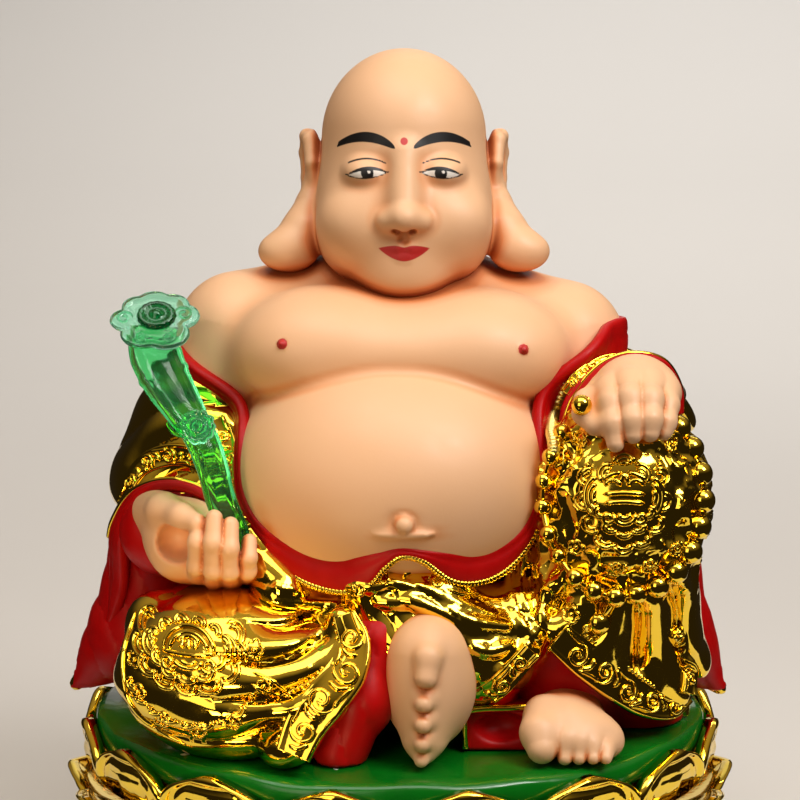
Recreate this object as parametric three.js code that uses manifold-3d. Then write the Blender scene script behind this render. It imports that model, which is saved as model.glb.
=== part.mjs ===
// A seated Budai with a bare belly, a clear green ruyi sceptre in the right hand and prayer beads under the left,
// on a round lotus throne. Millimetres, +Z up, the figure faces -Y, and the origin is under the throne's middle.
import * as THREE from "three";
import { mergeVertices } from "three/addons/utils/BufferGeometryUtils.js";
import Module from "manifold-3d";

// Driving dimensions, in millimetres.
const FIGURE_HEIGHT = 266; // from the seat to the crown of the head
const THRONE_HEIGHT = 74; // from the ground to the seat
const REST_GAP = 0.3; // between pieces that rest on or in each other
const SEAT_MARGIN = 7; // seat left free outside the knees and toes
const SEAT_RIM = 4; // depth of the seat's plain rim
const PETALS = 16; // in each of the three rows
const PETAL_FLARE = 12; // how far the outer petals stand out past the seat
const THRONE_WAIST_INSET = 34; // the waist stands this far inside the seat's edge
const THRONE_FOOT_INSET = 16; // and the foot this far
const FOOT_RING_HEIGHT = 9;
const RUYI_THICKNESS = 7.5;
const RUYI_TIP_WIDTH = 12;
const RUYI_NECK_WIDTH = 20;
const RUYI_HEAD_WIDTH = 36;
const RUYI_HEAD_DEPTH = 30;
const RUYI_PLATE = 4; // thickness of its head
const RUYI_LOBES = 6;
const BEAD_DIAMETER = 8;
const BEADS = 25; // round the knee, with one more hanging below

// The figure is placed in hundredths of its own height: x to its left hand, y to its back, z up from the seat.
const share = FIGURE_HEIGHT / 100;
const seatHalfWidth = 45.6 * share + SEAT_MARGIN;
const seatHalfDepth = 42.5 * share + SEAT_MARGIN;

const wasm = await Module();
wasm.setup();

const { clamp, lerp, smoothstep, degToRad } = THREE.MathUtils;
const long = (x, y, z) => Math.sqrt(x * x + y * y + z * z);
const minus = (a, b) => a.map((v, i) => v - b[i]);

// Forms: each gives a signed distance from its surface, negative inside.

function ball(centre, [rx, ry, rz]) {
  return (p) => {
    const [a, b, c] = minus(p, centre);
    const near = long(a / rx, b / ry, c / rz);
    const slope = long(a / (rx * rx), b / (ry * ry), c / (rz * rz));
    return slope < 1e-6 ? -Math.min(rx, ry, rz) : (near * (near - 1)) / slope;
  };
}

function limb(from, to, radiusFrom, radiusTo) {
  const axis = minus(to, from);
  const square = axis[0] ** 2 + axis[1] ** 2 + axis[2] ** 2;
  return (p) => {
    const off = minus(p, from);
    const t = clamp((off[0] * axis[0] + off[1] * axis[1] + off[2] * axis[2]) / square, 0, 1);
    const [a, b, c] = off.map((v, i) => v - axis[i] * t);
    return long(a, b, c) - lerp(radiusFrom, radiusTo, t);
  };
}

function blend(softness, ...forms) {
  return (p) =>
    forms.reduce((nearest, form) => {
      const d = form(p);
      const h = Math.max(softness - Math.abs(nearest - d), 0);
      return Math.min(nearest, d) - (h * h) / (4 * softness);
    }, 1e3);
}

// Drapery: ridges of a given height where the phase passes whole turns.
function folded(form, height, turns, reach) {
  return (p) => {
    const d = form(p);
    return d > 4 ? d - height : d - height * Math.cos(2 * Math.PI * turns(p)) * reach(p);
  };
}

// Head. Plain rules of proportion: eyes halfway up, the nose and mouth between them and the chin.
const MIDDLE = 0.6;
const BROW_LEVEL = 86.2;
const EYE_LEVEL = 82.4;
const NOSE_LEVEL = 74.6;
const MOUTH_LEVEL = 70.9;
const EYE_SPACING = 5.4;
const mirrored = ([x, ...rest]) => [2 * MIDDLE - x, ...rest];

const headForm = blend(
  2.4,
  ball([MIDDLE, 3.2, 86.8], [12.6, 14.4, 13.3]),
  ball([MIDDLE, -1.2, 76.8], [13.7, 13.0, 12.6]),
  ball([MIDDLE, -1.5, 68.6], [13.0, 12.0, 6.0]),
  ball([MIDDLE, -10.8, 67.4], [4.6, 3.6, 3.1]),
  ball([MIDDLE - 7.4, -8.2, 74.8], [5.4, 4.8, 4.6]),
  ball([MIDDLE + 7.4, -8.2, 74.8], [5.4, 4.8, 4.6]),
);

const noseForm = blend(
  1.2,
  limb([MIDDLE, -12.6, EYE_LEVEL + 2], [MIDDLE, -15.7, NOSE_LEVEL + 1], 1.0, 1.6),
  ball([MIDDLE, -16.0, NOSE_LEVEL + 0.4], [2.0, 2.0, 1.5]),
  ball([MIDDLE - 2.2, -14.5, NOSE_LEVEL], [1.5, 1.6, 1.2]),
  ball([MIDDLE + 2.2, -14.5, NOSE_LEVEL], [1.5, 1.6, 1.2]),
);

const bellyForm = ball([-0.8, -9, 37.5], [25, 24.6, 19.5]);

const chestForm = blend(
  2.6,
  ball([0.2, 1, 56.5], [26, 16, 10]),
  ball([-13.6, -11, 56], [14, 12.5, 8.6]),
  ball([14.2, -11, 55.4], [14, 12.5, 8.6]),
  ball([-23.6, 5, 57], [9.7, 9.7, 9.6]),
  ball([23.8, 5, 56.2], [9.7, 9.7, 9.6]),
  limb([MIDDLE, 4, 66], [MIDDLE, 3, 58], 11, 14),
  limb([-12, 5, 62], [-21, 5, 59], 7, 8),
  limb([13, 5, 62], [21, 5, 58.4], 7, 8),
);

// Robe: the back down to the seat, the two sleeves with their hanging ends, the legs and the lap.

const backForm = folded(
  blend(
    7,
    ball([0, 10, 33], [31, 18, 25]),
    ball([0, 8, 8], [36, 21, 14]),
    limb([-22, 7, 50], [22, 7, 50], 9.5, 9.5),
  ),
  0.9,
  ([x, , z]) => z / 11 + 0.0014 * x * x,
  ([, y]) => smoothstep(y, 4, 12),
);

const rightSleeveForm = folded(
  blend(
    5,
    limb([-25.5, 5, 49.5], [-35, 3, 35], 8.6, 8.4),
    limb([-35, 3, 35], [-34.4, -9.5, 29.5], 8.2, 7.4),
    ball([-26, -4, 37], [8, 12, 14]),
  ),
  0.9,
  ([x, y, z]) => (z - 0.75 * x - 0.5 * y) / 9,
  ([x, , z]) => smoothstep(z - x, 52, 64),
);

const leftSleeveForm = folded(
  blend(
    5,
    limb([25.5, 5, 49], [35, 6, 43], 8.6, 8.2),
    limb([35, 6, 43], [34.2, -10.5, 48.5], 8.2, 6.2),
    limb([36, 5, 40], [39, 4, 28], 7.4, 6.6),
  ),
  0.8,
  ([x, y, z]) => (z + 0.6 * x + 0.5 * y) / 9,
  ([x, , z]) => smoothstep(z + x, 58, 72),
);

const rightEndForm = blend(
  5,
  limb([-36, 1, 27], [-42, 2, 9], 7.6, 5.6),
  limb([-37, 9, 27], [-41, 10, 8], 6.5, 5.6),
  limb([-42, 3, 9], [-50.2, 3.4, 2.2], 5, 1.9),
);

const leftEndForm = blend(
  5,
  limb([38, 4, 32], [42.6, 2, 9], 6.6, 5.4),
  limb([37, 10, 30], [41, 10, 8], 6.5, 5.4),
  limb([42.8, 3, 9], [48.6, 3.4, 2.2], 4.8, 1.9),
);

// The right leg lies flat; its folds spread from the waist round the knee.
const RIGHT_FOLDS_FROM = [-4, 24];
const rightFan = ([x, , z]) => Math.atan2(RIGHT_FOLDS_FROM[1] - z, RIGHT_FOLDS_FROM[0] - x);
const rightLegForm = folded(
  blend(
    5,
    ball([-25, -23.5, 11.2], [16.2, 13, 11.8]),
    limb([-12, 0, 12], [-27, -12, 12], 12.5, 11.5),
    limb([-22, -25, 10.5], [-8.5, -29.5, 11.4], 10.6, 7.6),
  ),
  1.1,
  (p) => 1.9 * rightFan(p) - 0.012 * long(p[0] + 4, 0, p[2] - 24),
  (p) => smoothstep(rightFan(p), 0.34, 0.6) * smoothstep(-p[0], 8, 14),
);

// The left knee is raised under the beads; its folds spread from the knee down to the foot.
const LEFT_FOLDS_FROM = [33, 40];
const leftFan = ([x, , z]) => Math.atan2(x - LEFT_FOLDS_FROM[0], LEFT_FOLDS_FROM[1] - z);
const leftLegForm = folded(
  blend(
    4,
    ball([32, -17.5, 36.8], [12.2, 12.8, 13.6]),
    limb([15, 2, 14], [29, -12, 30], 12, 10),
    limb([31.5, -18, 34], [27, -22, 13], 10.8, 9.6),
    limb([27, -22, 13], [36.5, -20, 8.5], 9.6, 8),
  ),
  1.0,
  (p) => 1.5 * leftFan(p) + 0.01 * p[2],
  ([, , z]) => smoothstep(30 - z, 2, 8),
);

const lapForm = folded(
  blend(5, ball([1, -13, 13], [22, 18, 13]), ball([4, -22, 16.5], [16, 10, 7.5])),
  0.7,
  ([x, , z]) => (z + 0.4 * x) / 6,
  () => 1,
);

const bodyForm = blend(
  0.01,
  bellyForm,
  chestForm,
  backForm,
  rightSleeveForm,
  leftSleeveForm,
  rightEndForm,
  leftEndForm,
  rightLegForm,
  leftLegForm,
  lapForm,
);

// Solids: geometries warped point by point, then joined.

function solid(geometry) {
  const bare = geometry.clone();
  bare.deleteAttribute("normal");
  bare.deleteAttribute("uv");
  const merged = mergeVertices(bare, 1e-4);
  const mesh = new wasm.Mesh({
    numProp: 3,
    vertProperties: new Float32Array(merged.attributes.position.array),
    triVerts: new Uint32Array(merged.index.array),
  });
  return new wasm.Manifold(mesh);
}

function warp(geometry, move) {
  const place = geometry.attributes.position;
  for (let i = 0; i < place.count; i++) {
    place.setXYZ(i, ...move([place.getX(i), place.getY(i), place.getZ(i)]));
  }
  return geometry;
}

const sphereZ = (around, high) => new THREE.SphereGeometry(1, around, high).rotateX(Math.PI / 2);
const sized = (p) => p.map((v) => v * share);

// How far out from a centre the field's last surface lies, found from outside inwards.
const CAST_FROM = 70;
function castIn(form, centre, direction) {
  let far = CAST_FROM;
  for (let i = 0; i < 90; i++) {
    const d = form(centre.map((v, k) => v + direction[k] * far));
    if (d < 0.01) break;
    far -= Math.max(0.75 * d, 0.05);
    if (far < 0.1) return 0.1;
  }
  return far;
}

// A closed body drawn in from a sphere to the outermost surface of a form.
function drawn(form, centre, around, high) {
  return solid(
    warp(sphereZ(around, high), (direction) => {
      const far = castIn(form, centre, direction);
      return sized(centre.map((v, k) => v + direction[k] * far));
    }),
  );
}

// The y at which a level line from the front first meets a form, or comes nearest to it.
function frontOf(form, x, z) {
  let [y, best, nearest] = [-60, -60, 1e3];
  while (y < 10) {
    const d = form([x, y, z]);
    if (d < nearest) [best, nearest] = [y, d];
    if (d < 0.01) break;
    y += Math.max(0.7 * d, 0.05);
  }
  return best;
}

// A rounded band along a line, its flat face turned to the given outward directions.
function band(points, outward, halfWidth, halfThickness, steps, sides = 6) {
  const line = new THREE.CatmullRomCurve3(points.map((p) => new THREE.Vector3(...p)));
  const facing = new THREE.CatmullRomCurve3(outward.map((p) => new THREE.Vector3(...p)));
  return solid(
    warp(new THREE.CylinderGeometry(1, 1, 1, sides, steps), ([x, y, z]) => {
      const t = clamp(0.5 - y, 0, 1);
      const along = line.getTangent(t);
      const out = facing.getPoint(t);
      out.addScaledVector(along, -out.dot(along)).normalize();
      const side = new THREE.Vector3().crossVectors(out, along);
      const p = line.getPoint(t);
      p.addScaledVector(side, x * halfWidth(t)).addScaledVector(out, z * halfThickness(t));
      return sized([p.x, p.y, p.z]);
    }),
  );
}

function meshOf(name, made, material) {
  const { numProp, vertProperties, triVerts } = made.getMesh();
  const place = [];
  for (let i = 0; i < vertProperties.length; i += numProp) {
    place.push(vertProperties[i], vertProperties[i + 1], vertProperties[i + 2]);
  }
  const geometry = new THREE.BufferGeometry();
  geometry.setAttribute("position", new THREE.Float32BufferAttribute(place, 3));
  geometry.setIndex(Array.from(triVerts));
  geometry.computeVertexNormals();
  const mesh = new THREE.Mesh(geometry, material);
  mesh.name = name;
  return mesh;
}

// Head with long-lobed ears.

const EAR = [
  { at: [-13.2, 5.4, 86.8], width: 1.2, depth: 0.8 },
  { at: [-13.6, 5.4, 83.5], width: 3.0, depth: 1.6 },
  { at: [-13.9, 4.8, 79.6], width: 3.4, depth: 1.8 },
  { at: [-14.4, 2.8, 75.4], width: 2.4, depth: 2.0 },
  { at: [-16.2, 0.2, 71.8], width: 2.8, depth: 2.8 },
  { at: [-18.6, -1.5, 69.6], width: 3.6, depth: 3.2 },
  { at: [-21.4, -2.0, 68.9], width: 2.4, depth: 2.2 },
];

function ear(side) {
  const along = (t, key) => {
    const place = t * (EAR.length - 1);
    const low = Math.min(Math.floor(place), EAR.length - 2);
    return lerp(EAR[low][key], EAR[low + 1][key], place - low);
  };
  const line = EAR.map(({ at }) => side(at));
  const out = line.map(() => [side([-1, 0, 0])[0] < MIDDLE ? -1 : 1, -0.3, 0.5]);
  return band(line, out, (t) => along(t, "width"), (t) => along(t, "depth"), EAR.length - 1, 6);
}

function head() {
  const features = [-1, 1].flatMap((s) => {
    const eye = [MIDDLE + s * EYE_SPACING, -11.9, EYE_LEVEL - 0.2];
    const brow = [MIDDLE + s * (EYE_SPACING + 0.2), -10.3, BROW_LEVEL];
    return [
      drawn(ball(eye, [3.4, 2.0, 1.8]), eye, 6, 4),
      drawn(ball(brow, [5.0, 2.6, 1.6]), brow, 6, 4),
    ];
  });
  const mouth = [MIDDLE, -13.2, MOUTH_LEVEL];
  return [
    drawn(headForm, [MIDDLE, 1, 80], 20, 14),
    drawn(noseForm, [MIDDLE, -13.8, 76.5], 6, 5),
    drawn(ball(mouth, [3.5, 1.8, 1.3]), mouth, 6, 4),
    ...features,
    ear((p) => p),
    ear(mirrored),
  ];
}

// Hands: a palm, and digits swept from the root over the knuckle to the tip.

const FINGER_RADIUS = 1.65;
const THUMB_RADIUS = 2.2;

function digit(line, radius) {
  const size = (t) => radius * (1.05 - 0.1 * t) * Math.sqrt(1 - 0.7 * Math.max(t - 0.75, 0) / 0.25);
  return band(line, line.map(() => [0, -1, 0.3]), size, size, 3, 5);
}

function rightHand() {
  const palm = blend(
    3,
    ball([-30.4, -18.6, 28], [7.6, 5.8, 6.6]),
    limb([-34.4, -13, 33], [-31, -18, 29], 5.2, 5.4),
    ball([-25, -21, 24.8], [7.0, 4.6, 3.6]),
  );
  const fingers = [
    [[-27.8, -22.4, 24.4], [-28.0, -28.7, 29.6], [-27.8, -26.6, 34.2]],
    [[-25.0, -22.4, 23.8], [-25.2, -29.9, 29.8], [-25.4, -28.6, 34.2]],
    [[-22.4, -21.8, 24.2], [-22.5, -29.6, 28.8], [-22.8, -28.2, 32.4]],
    [[-20.2, -21.6, 24.2], [-20.1, -27.9, 26.7], [-20.3, -26.2, 29.8]],
  ];
  const thumb = [[-35.2, -18.8, 34.0], [-31.2, -25.0, 35.6], [-28.6, -28.0, 34.6]];
  return [
    drawn(palm, [-29, -18.5, 28], 10, 6),
    ...fingers.map((line) => digit(line, FINGER_RADIUS)),
    digit(thumb, THUMB_RADIUS),
  ];
}

function leftHand() {
  const back = blend(
    3,
    ball([33.6, -22, 51.2], [6.6, 5.6, 4.8]),
    limb([34.5, -13, 50], [33.8, -20, 51], 5.4, 5.4),
  );
  const fingers = [
    [[30.0, -24.6, 54.0], [29.2, -29.6, 50.5], [29.4, -30.8, 46.0]],
    [[32.9, -25.2, 54.6], [32.0, -30.8, 50.9], [31.8, -31.6, 46.4]],
    [[35.6, -24.8, 54.2], [34.9, -30.4, 50.9], [34.3, -31.2, 46.4]],
    [[38.0, -23.8, 52.8], [37.6, -28.8, 50.0], [36.7, -30.2, 46.8]],
  ];
  const thumb = [[28.6, -22.4, 51.4], [26.8, -26.8, 48.4], [28.0, -28.4, 46.0]];
  return [
    drawn(back, [33.6, -20, 51], 10, 6),
    ...fingers.map((line) => digit(line, FINGER_RADIUS * 1.08)),
    digit(thumb, THUMB_RADIUS * 0.9),
  ];
}

// Feet: the right one stands on its outer edge with the toes one above another, the left one is flat.

function toe(place, radius, length) {
  return drawn(ball(place, [radius, length, radius * 0.95]), place, 6, 4);
}

function rightFoot() {
  const foot = blend(
    3,
    ball([4.0, -28.5, 11.0], [7.2, 8.5, 9.9]),
    limb([2.6, -33.5, 14.5], [3.4, -34.2, 5.0], 4.6, 3.8),
  );
  const heights = [15.0, 10.8, 7.7, 4.8, 2.1];
  const radii = [2.6, 1.9, 1.75, 1.65, 1.5];
  return [
    drawn(foot, [4.0, -29, 11], 10, 7),
    ...heights.map((z, i) => toe([3.9 - 0.07 * i * i, -37.8 + 0.25 * i, z], radii[i], 3.1)),
  ];
}

function leftFoot() {
  const foot = blend(
    3,
    ball([25.6, -30.5, 4.0], [8.0, 9.2, 4.8]),
    limb([26.5, -24, 7.4], [25.8, -31, 5.2], 5.4, 4.4),
  );
  const across = [19.8, 23.4, 26.0, 28.5, 30.9];
  const radii = [2.5, 1.7, 1.6, 1.5, 1.4];
  return [
    drawn(foot, [25.6, -29, 4.4], 10, 5),
    ...across.map((x, i) => toe([x, -37.9 + 0.22 * i * i, 0.7 * radii[i] + 0.7], radii[i], 3.3)),
  ];
}

// The robe's rolled collar lies on the body, given by its turns from the front and its heights.
const COLLAR_AXIS_Y = 2;
function collar() {
  const line = [
    [-175, 57.5], [-135, 58], [-108, 56.5], [-86, 53.2], [-73, 50.6], [-60, 47], [-52, 42],
    [-46, 36], [-37.5, 31.2], [-25.5, 27.8], [-13.4, 26.8], [0, 28.8], [11.7, 28.4], [24.7, 28],
    [35.2, 31], [41.7, 37.9], [45.5, 44.2], [53.5, 49.5], [67.7, 53.9], [84, 56.2], [108, 57.5],
    [135, 58], [175, 57.5],
  ].map(([turn, z]) => {
    const angle = degToRad(turn);
    const out = [Math.sin(angle), -Math.cos(angle), 0];
    const far = castIn(bodyForm, [0, COLLAR_AXIS_Y, z], out) - 0.2;
    return { point: [out[0] * far, COLLAR_AXIS_Y + out[1] * far, z], out };
  });
  return band(line.map((l) => l.point), line.map((l) => l.out), () => 1.9, () => 1.4, 30, 4);
}

// The rolled mouths of the wide sleeves, round the wrists.
function cuffs() {
  const right = [
    [-42.4, -6, 21], [-42.0, -10.5, 29], [-38.6, -14.2, 35.4], [-33.4, -16.4, 37.6],
    [-28.2, -18.0, 36.2], [-24.4, -19.4, 32.4], [-22.6, -19.8, 27.6],
  ];
  const left = [
    [24.6, -15, 44], [26.2, -14.6, 51], [30, -13.8, 55.4], [35, -13, 56.4], [39.6, -12, 53.4],
    [41.2, -11, 47.6],
  ];
  return [
    band(right, right.map((p) => minus(p, [-33, -4, 29])), () => 2.1, () => 1.7, 9, 4),
    band(left, left.map((p) => minus(p, [34, -7, 47])), () => 1.9, () => 1.6, 8, 4),
  ];
}

// Embroidered hems: over each foot, and the sash that crosses under the belly. Each is given by x, z and lift.
function hems() {
  const hem = (line, halfWidth, steps) => {
    const points = line.map(([x, z, lift]) => [x, frontOf(bodyForm, x, z) - lift, z]);
    const out = points.map(() => [0, -1, 0.2]);
    return band(points, out, () => halfWidth, () => 1.4, steps, 4);
  };
  const overRightFoot = [
    [-3.4, 22.4, 0], [-5.6, 17.2, 1.6], [-9.6, 11.6, 1], [-13.2, 6.4, 0.6], [-14.2, 2.4, 0],
  ];
  const overLeftFoot = [
    [20.8, 15.6, 0.6], [25.4, 17.6, 0.8], [31, 13.8, 1.2], [36.6, 9.2, 1.2], [40.8, 6.4, 0.6],
  ];
  const sash = [
    [-15.4, 23.4, 0], [-7.7, 24.4, 0.3], [0, 25.8, 0.6], [7, 24.6, 0.5], [14, 22.4, 0.3], [20.5, 22, 0],
  ];
  const between = [[14.4, 20.6, 0], [13.2, 14.6, 0.8], [13.6, 8.6, 1], [16.6, 3.4, 0.6]];
  return [
    hem(overRightFoot, 3.2, 9),
    hem(overLeftFoot, 3.2, 9),
    hem(sash, 2.3, 10),
    hem(between, 2.2, 7),
  ];
}

// Lobed medallions embroidered on the two knees.
const MEDALLION_LOBES = 8;
function medallion(x, z, halfWidth, halfHeight) {
  const lobed = new THREE.CylinderGeometry(0.8, 1, 1, 2 * MEDALLION_LOBES, 1);
  return solid(
    warp(lobed, ([a, b, c]) => {
      const turn = Math.atan2(c, a);
      const reach = Math.hypot(a, c) * (1 + 0.09 * Math.cos(MEDALLION_LOBES * turn));
      const px = x + halfWidth * reach * Math.cos(turn);
      const pz = z - halfHeight * reach * Math.sin(turn);
      return sized([px, frontOf(bodyForm, px, pz) - 1.4 * b, pz]);
    }),
  );
}

// Prayer beads on an oval round the raised knee, and the larger bead that closes them.
const STRING = { x: 32.3, z: 37.2, halfWidth: 11.4, halfHeight: 13.2 };
function beads() {
  const radius = BEAD_DIAMETER / 2 / share;
  const places = [[28.4, 20.4, 1.25]];
  for (let i = 0; i < BEADS; i++) {
    const turn = (2 * Math.PI * (i + 0.5)) / BEADS;
    const x = STRING.x + STRING.halfWidth * Math.sin(turn);
    const z = STRING.z + STRING.halfHeight * Math.cos(turn);
    if (Math.cos(turn) < 0.86) places.push([x, z, 1]);
  }
  return places.map(([x, z, size]) => {
    const centre = [x, frontOf(bodyForm, x, z) - 0.35 * radius, z];
    const round = new THREE.IcosahedronGeometry(radius * size * 1.06, 0);
    return solid(warp(round, (p) => sized(p.map((v, i) => v + centre[i]))));
  });
}

// Ruyi: a long S-shaped shaft with a knot, and a cloud head tilted up and forward.

const RUYI_LINE = [
  [-35.4, -18.2, 60.4], [-35.6, -19.2, 57.5], [-34.2, -20.6, 53.6], [-31.9, -22.4, 49.6],
  [-29.4, -23.8, 45.6], [-27.3, -24.9, 41.4], [-25.7, -25.5, 36.8], [-24.1, -25.4, 32.6],
  [-22.3, -24.8, 28.9],
];
const RUYI_FACING = [0.35, -1, 0.35];
const RUYI_KNOT = [-29.6, -23.8, 46.0];
const RUYI_HEAD_AT = [-35.4, -18.6, 61.6];
const RUYI_HEAD_TILT = 40; // degrees up from facing the front

function ruyiShaft(clearance) {
  const width = (t) => {
    const waisted = lerp(RUYI_NECK_WIDTH, RUYI_TIP_WIDTH, smoothstep(t, 0.05, 0.5));
    return ((waisted / 2) * smoothstep(1 - t, -0.05, 0.1) + clearance) / share;
  };
  const thickness = (t) => {
    return ((RUYI_THICKNESS / 2) * smoothstep(1 - t, -0.1, 0.06) + clearance) / share;
  };
  return band(RUYI_LINE, RUYI_LINE.map(() => RUYI_FACING), width, thickness, 14, 6);
}

function ruyiHead() {
  const steps = RUYI_LOBES * 4;
  const outline = Array.from({ length: steps }, (unused, i) => {
    const turn = (2 * Math.PI * i) / steps;
    const lobed = 0.86 + 0.14 * Math.abs(Math.sin((RUYI_LOBES * turn) / 2));
    return new THREE.Vector2(
      (RUYI_HEAD_WIDTH / 2) * lobed * Math.cos(turn),
      (RUYI_HEAD_DEPTH / 2) * lobed * Math.sin(turn),
    );
  });
  const bevel = 0.8;
  const plate = new THREE.ExtrudeGeometry(new THREE.Shape(outline), {
    depth: RUYI_PLATE - 2 * bevel,
    bevelSize: bevel,
    bevelOffset: -bevel,
    bevelThickness: bevel,
    bevelSegments: 1,
  });
  const boss = new THREE.SphereGeometry(1, 10, 5);
  boss.scale(RUYI_HEAD_WIDTH * 0.22, RUYI_HEAD_DEPTH * 0.2, 4);
  boss.translate(0, 0, RUYI_PLATE - 1);
  return [plate, boss].map((geometry) => {
    geometry.rotateX(degToRad(90 - RUYI_HEAD_TILT));
    geometry.translate(...sized(RUYI_HEAD_AT));
    return solid(geometry);
  });
}

function ruyi() {
  const knot = drawn(ball(RUYI_KNOT, [3.3, 2.2, 2.9]), RUYI_KNOT, 8, 5);
  return wasm.Manifold.union([ruyiShaft(0), knot, ...ruyiHead()]);
}

// Lotus throne: rings of petals round an oval body. Each ring of points is given between two petals and at a
// petal's middle, as an inset from the seat's edge and a height.

const between = (turn, turned) => Math.abs(((((turn * PETALS) / (2 * Math.PI) + turned) % 1) + 1) % 1 - 0.5) * 2;

function corolla(rings, turned = 0, around = 4 * PETALS) {
  const coded = rings.map((ring, i) => new THREE.Vector2(1, i));
  const closed = [new THREE.Vector2(0, 0), ...coded, new THREE.Vector2(0, rings.length - 1)];
  const turnedBody = new THREE.LatheGeometry(closed, around).rotateX(Math.PI / 2);
  return solid(
    warp(turnedBody, ([x, y, index]) => {
      const [notchInset, notchZ, tipInset, tipZ] = rings[Math.round(index)];
      if (Math.hypot(x, y) < 0.5) return [0, 0, notchZ];
      const arch = 1 - between(Math.atan2(x, -y), turned) ** 1.6;
      const inset = lerp(notchInset, tipInset, arch);
      return [x * (seatHalfWidth + inset), y * (seatHalfDepth + inset), lerp(notchZ, tipZ, arch)];
    }),
  );
}

function throne() {
  const top = THRONE_HEIGHT;
  const waist = -THRONE_WAIST_INSET;
  const foot = -THRONE_FOOT_INSET;
  const inner = corolla([
    [-24, 0.45 * top, -24, 0.45 * top],
    [-8, 0.66 * top, -4, 0.66 * top],
    [-3, top - SEAT_RIM - 5, 3, top - SEAT_RIM],
    [-2, top - SEAT_RIM, 2.5, top - 0.5],
    [-4, top, -3.5, top],
  ], 0.5);
  const outer = corolla([
    [waist, 0.36 * top, waist, 0.36 * top],
    [-14, 0.52 * top, -6, 0.5 * top],
    [-6, 0.6 * top, PETAL_FLARE, 0.74 * top],
    [-9, 0.63 * top, PETAL_FLARE - 4, 0.79 * top],
    [-16, 0.64 * top, -14, 0.64 * top],
  ]);
  const lower = corolla([
    [waist, 0.24 * top, waist, 0.24 * top],
    [-24, 0.22 * top, foot + 8, 0.13 * top],
    [-22, 0.26 * top, foot + 7, 0.19 * top],
    [waist, 0.38 * top, waist + 2, 0.37 * top],
  ], 0.5);
  const plain = corolla([
    [foot, 0, foot, 0],
    [foot, FOOT_RING_HEIGHT, foot, FOOT_RING_HEIGHT],
    [waist, 0.3 * top, waist, 0.3 * top],
    [waist, 0.5 * top, waist, 0.5 * top],
  ], 0, 2 * PETALS);
  return wasm.Manifold.union([plain, lower, outer, inner]);
}

// The whole: the figure rests on the seat, and the ruyi rests in its hand, each a gap away.

function below(height) {
  const size = 8 * FIGURE_HEIGHT;
  return solid(new THREE.BoxGeometry(size, size, size).translate(0, 0, height - size / 2));
}

function figure() {
  const whole = wasm.Manifold.union([
    drawn(bellyForm, [-0.8, -9, 37.5], 20, 10),
    drawn(chestForm, [0, -1, 57], 26, 11),
    drawn(backForm, [0, 8, 26], 22, 10),
    drawn(rightSleeveForm, [-33, 0, 36], 14, 10),
    drawn(leftSleeveForm, [34, 1, 42], 14, 10),
    drawn(rightEndForm, [-40, 5, 12], 10, 8),
    drawn(leftEndForm, [41, 5, 13], 10, 8),
    drawn(rightLegForm, [-23, -18, 11], 24, 11),
    drawn(leftLegForm, [29, -14, 22], 18, 12),
    drawn(lapForm, [2, -14, 13], 14, 6),
    ...head(),
    ...rightHand(),
    ...leftHand(),
    ...rightFoot(),
    ...leftFoot(),
    collar(),
    ...cuffs(),
    ...hems(),
    medallion(-30.5, 17, 6.6, 4.4),
    medallion(32.2, 38.6, 5.4, 4.4),
    ...beads(),
  ]);
  return whole.subtract(below(REST_GAP)).subtract(ruyiShaft(REST_GAP));
}

const gold = new THREE.MeshStandardMaterial({ color: 0xd9a520, metalness: 1, roughness: 0.2 });
const skin = new THREE.MeshStandardMaterial({ color: 0xe8b78c, roughness: 0.5 });
const jade = new THREE.MeshStandardMaterial({
  color: 0x1f9d57,
  roughness: 0.15,
  opacity: 0.8,
  transparent: true,
});

const raised = (made) => made.translate(0, 0, THRONE_HEIGHT);
const part = new THREE.Group();
part.name = "budai_figure";
part.add(
  meshOf("figure", raised(figure()), skin),
  meshOf("ruyi", raised(ruyi()), jade),
  meshOf("lotus_throne", throne(), gold),
);

export default part;
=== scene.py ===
import math
import bpy
import numpy as np
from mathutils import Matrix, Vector


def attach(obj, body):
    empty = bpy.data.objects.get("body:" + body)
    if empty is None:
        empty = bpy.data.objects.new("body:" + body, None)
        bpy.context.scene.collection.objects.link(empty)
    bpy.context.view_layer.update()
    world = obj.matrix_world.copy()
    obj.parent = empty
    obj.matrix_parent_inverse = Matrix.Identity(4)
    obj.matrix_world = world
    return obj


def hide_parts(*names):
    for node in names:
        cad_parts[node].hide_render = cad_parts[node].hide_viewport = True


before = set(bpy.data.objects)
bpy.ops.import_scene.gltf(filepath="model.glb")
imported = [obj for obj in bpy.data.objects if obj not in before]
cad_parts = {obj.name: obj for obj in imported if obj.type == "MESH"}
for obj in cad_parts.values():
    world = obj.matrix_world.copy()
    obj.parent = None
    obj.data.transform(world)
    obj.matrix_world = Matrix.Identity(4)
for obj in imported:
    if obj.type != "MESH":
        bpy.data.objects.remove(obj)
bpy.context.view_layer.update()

# Shapes are placed in hundredths of the figure's height, here called shares: x to the figure's left hand,
# y to its back, and z up from the seat.
SHARE = 0.00266
MILLIMETRE = 0.001 / SHARE
SEAT = 0.074
MIDDLE = 0.6
REST = 0.12


def to_metres(points):
    return np.asarray(points, float) * SHARE + np.array([0.0, 0.0, SEAT])


def smooth(value, low, high):
    t = np.clip((value - low) / (high - low), 0.0, 1.0)
    return t * t * (3.0 - 2.0 * t)


CORNERS = np.array([[i, j, k] for i in (0, 1) for j in (0, 1) for k in (0, 1)])
NEAR_ENOUGH = 5.0
ROWS_AT_ONCE = 120000
CELLS_AT_ONCE = 240


# Forms: each gives a signed distance from its surface for rows of points, negative inside.

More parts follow.
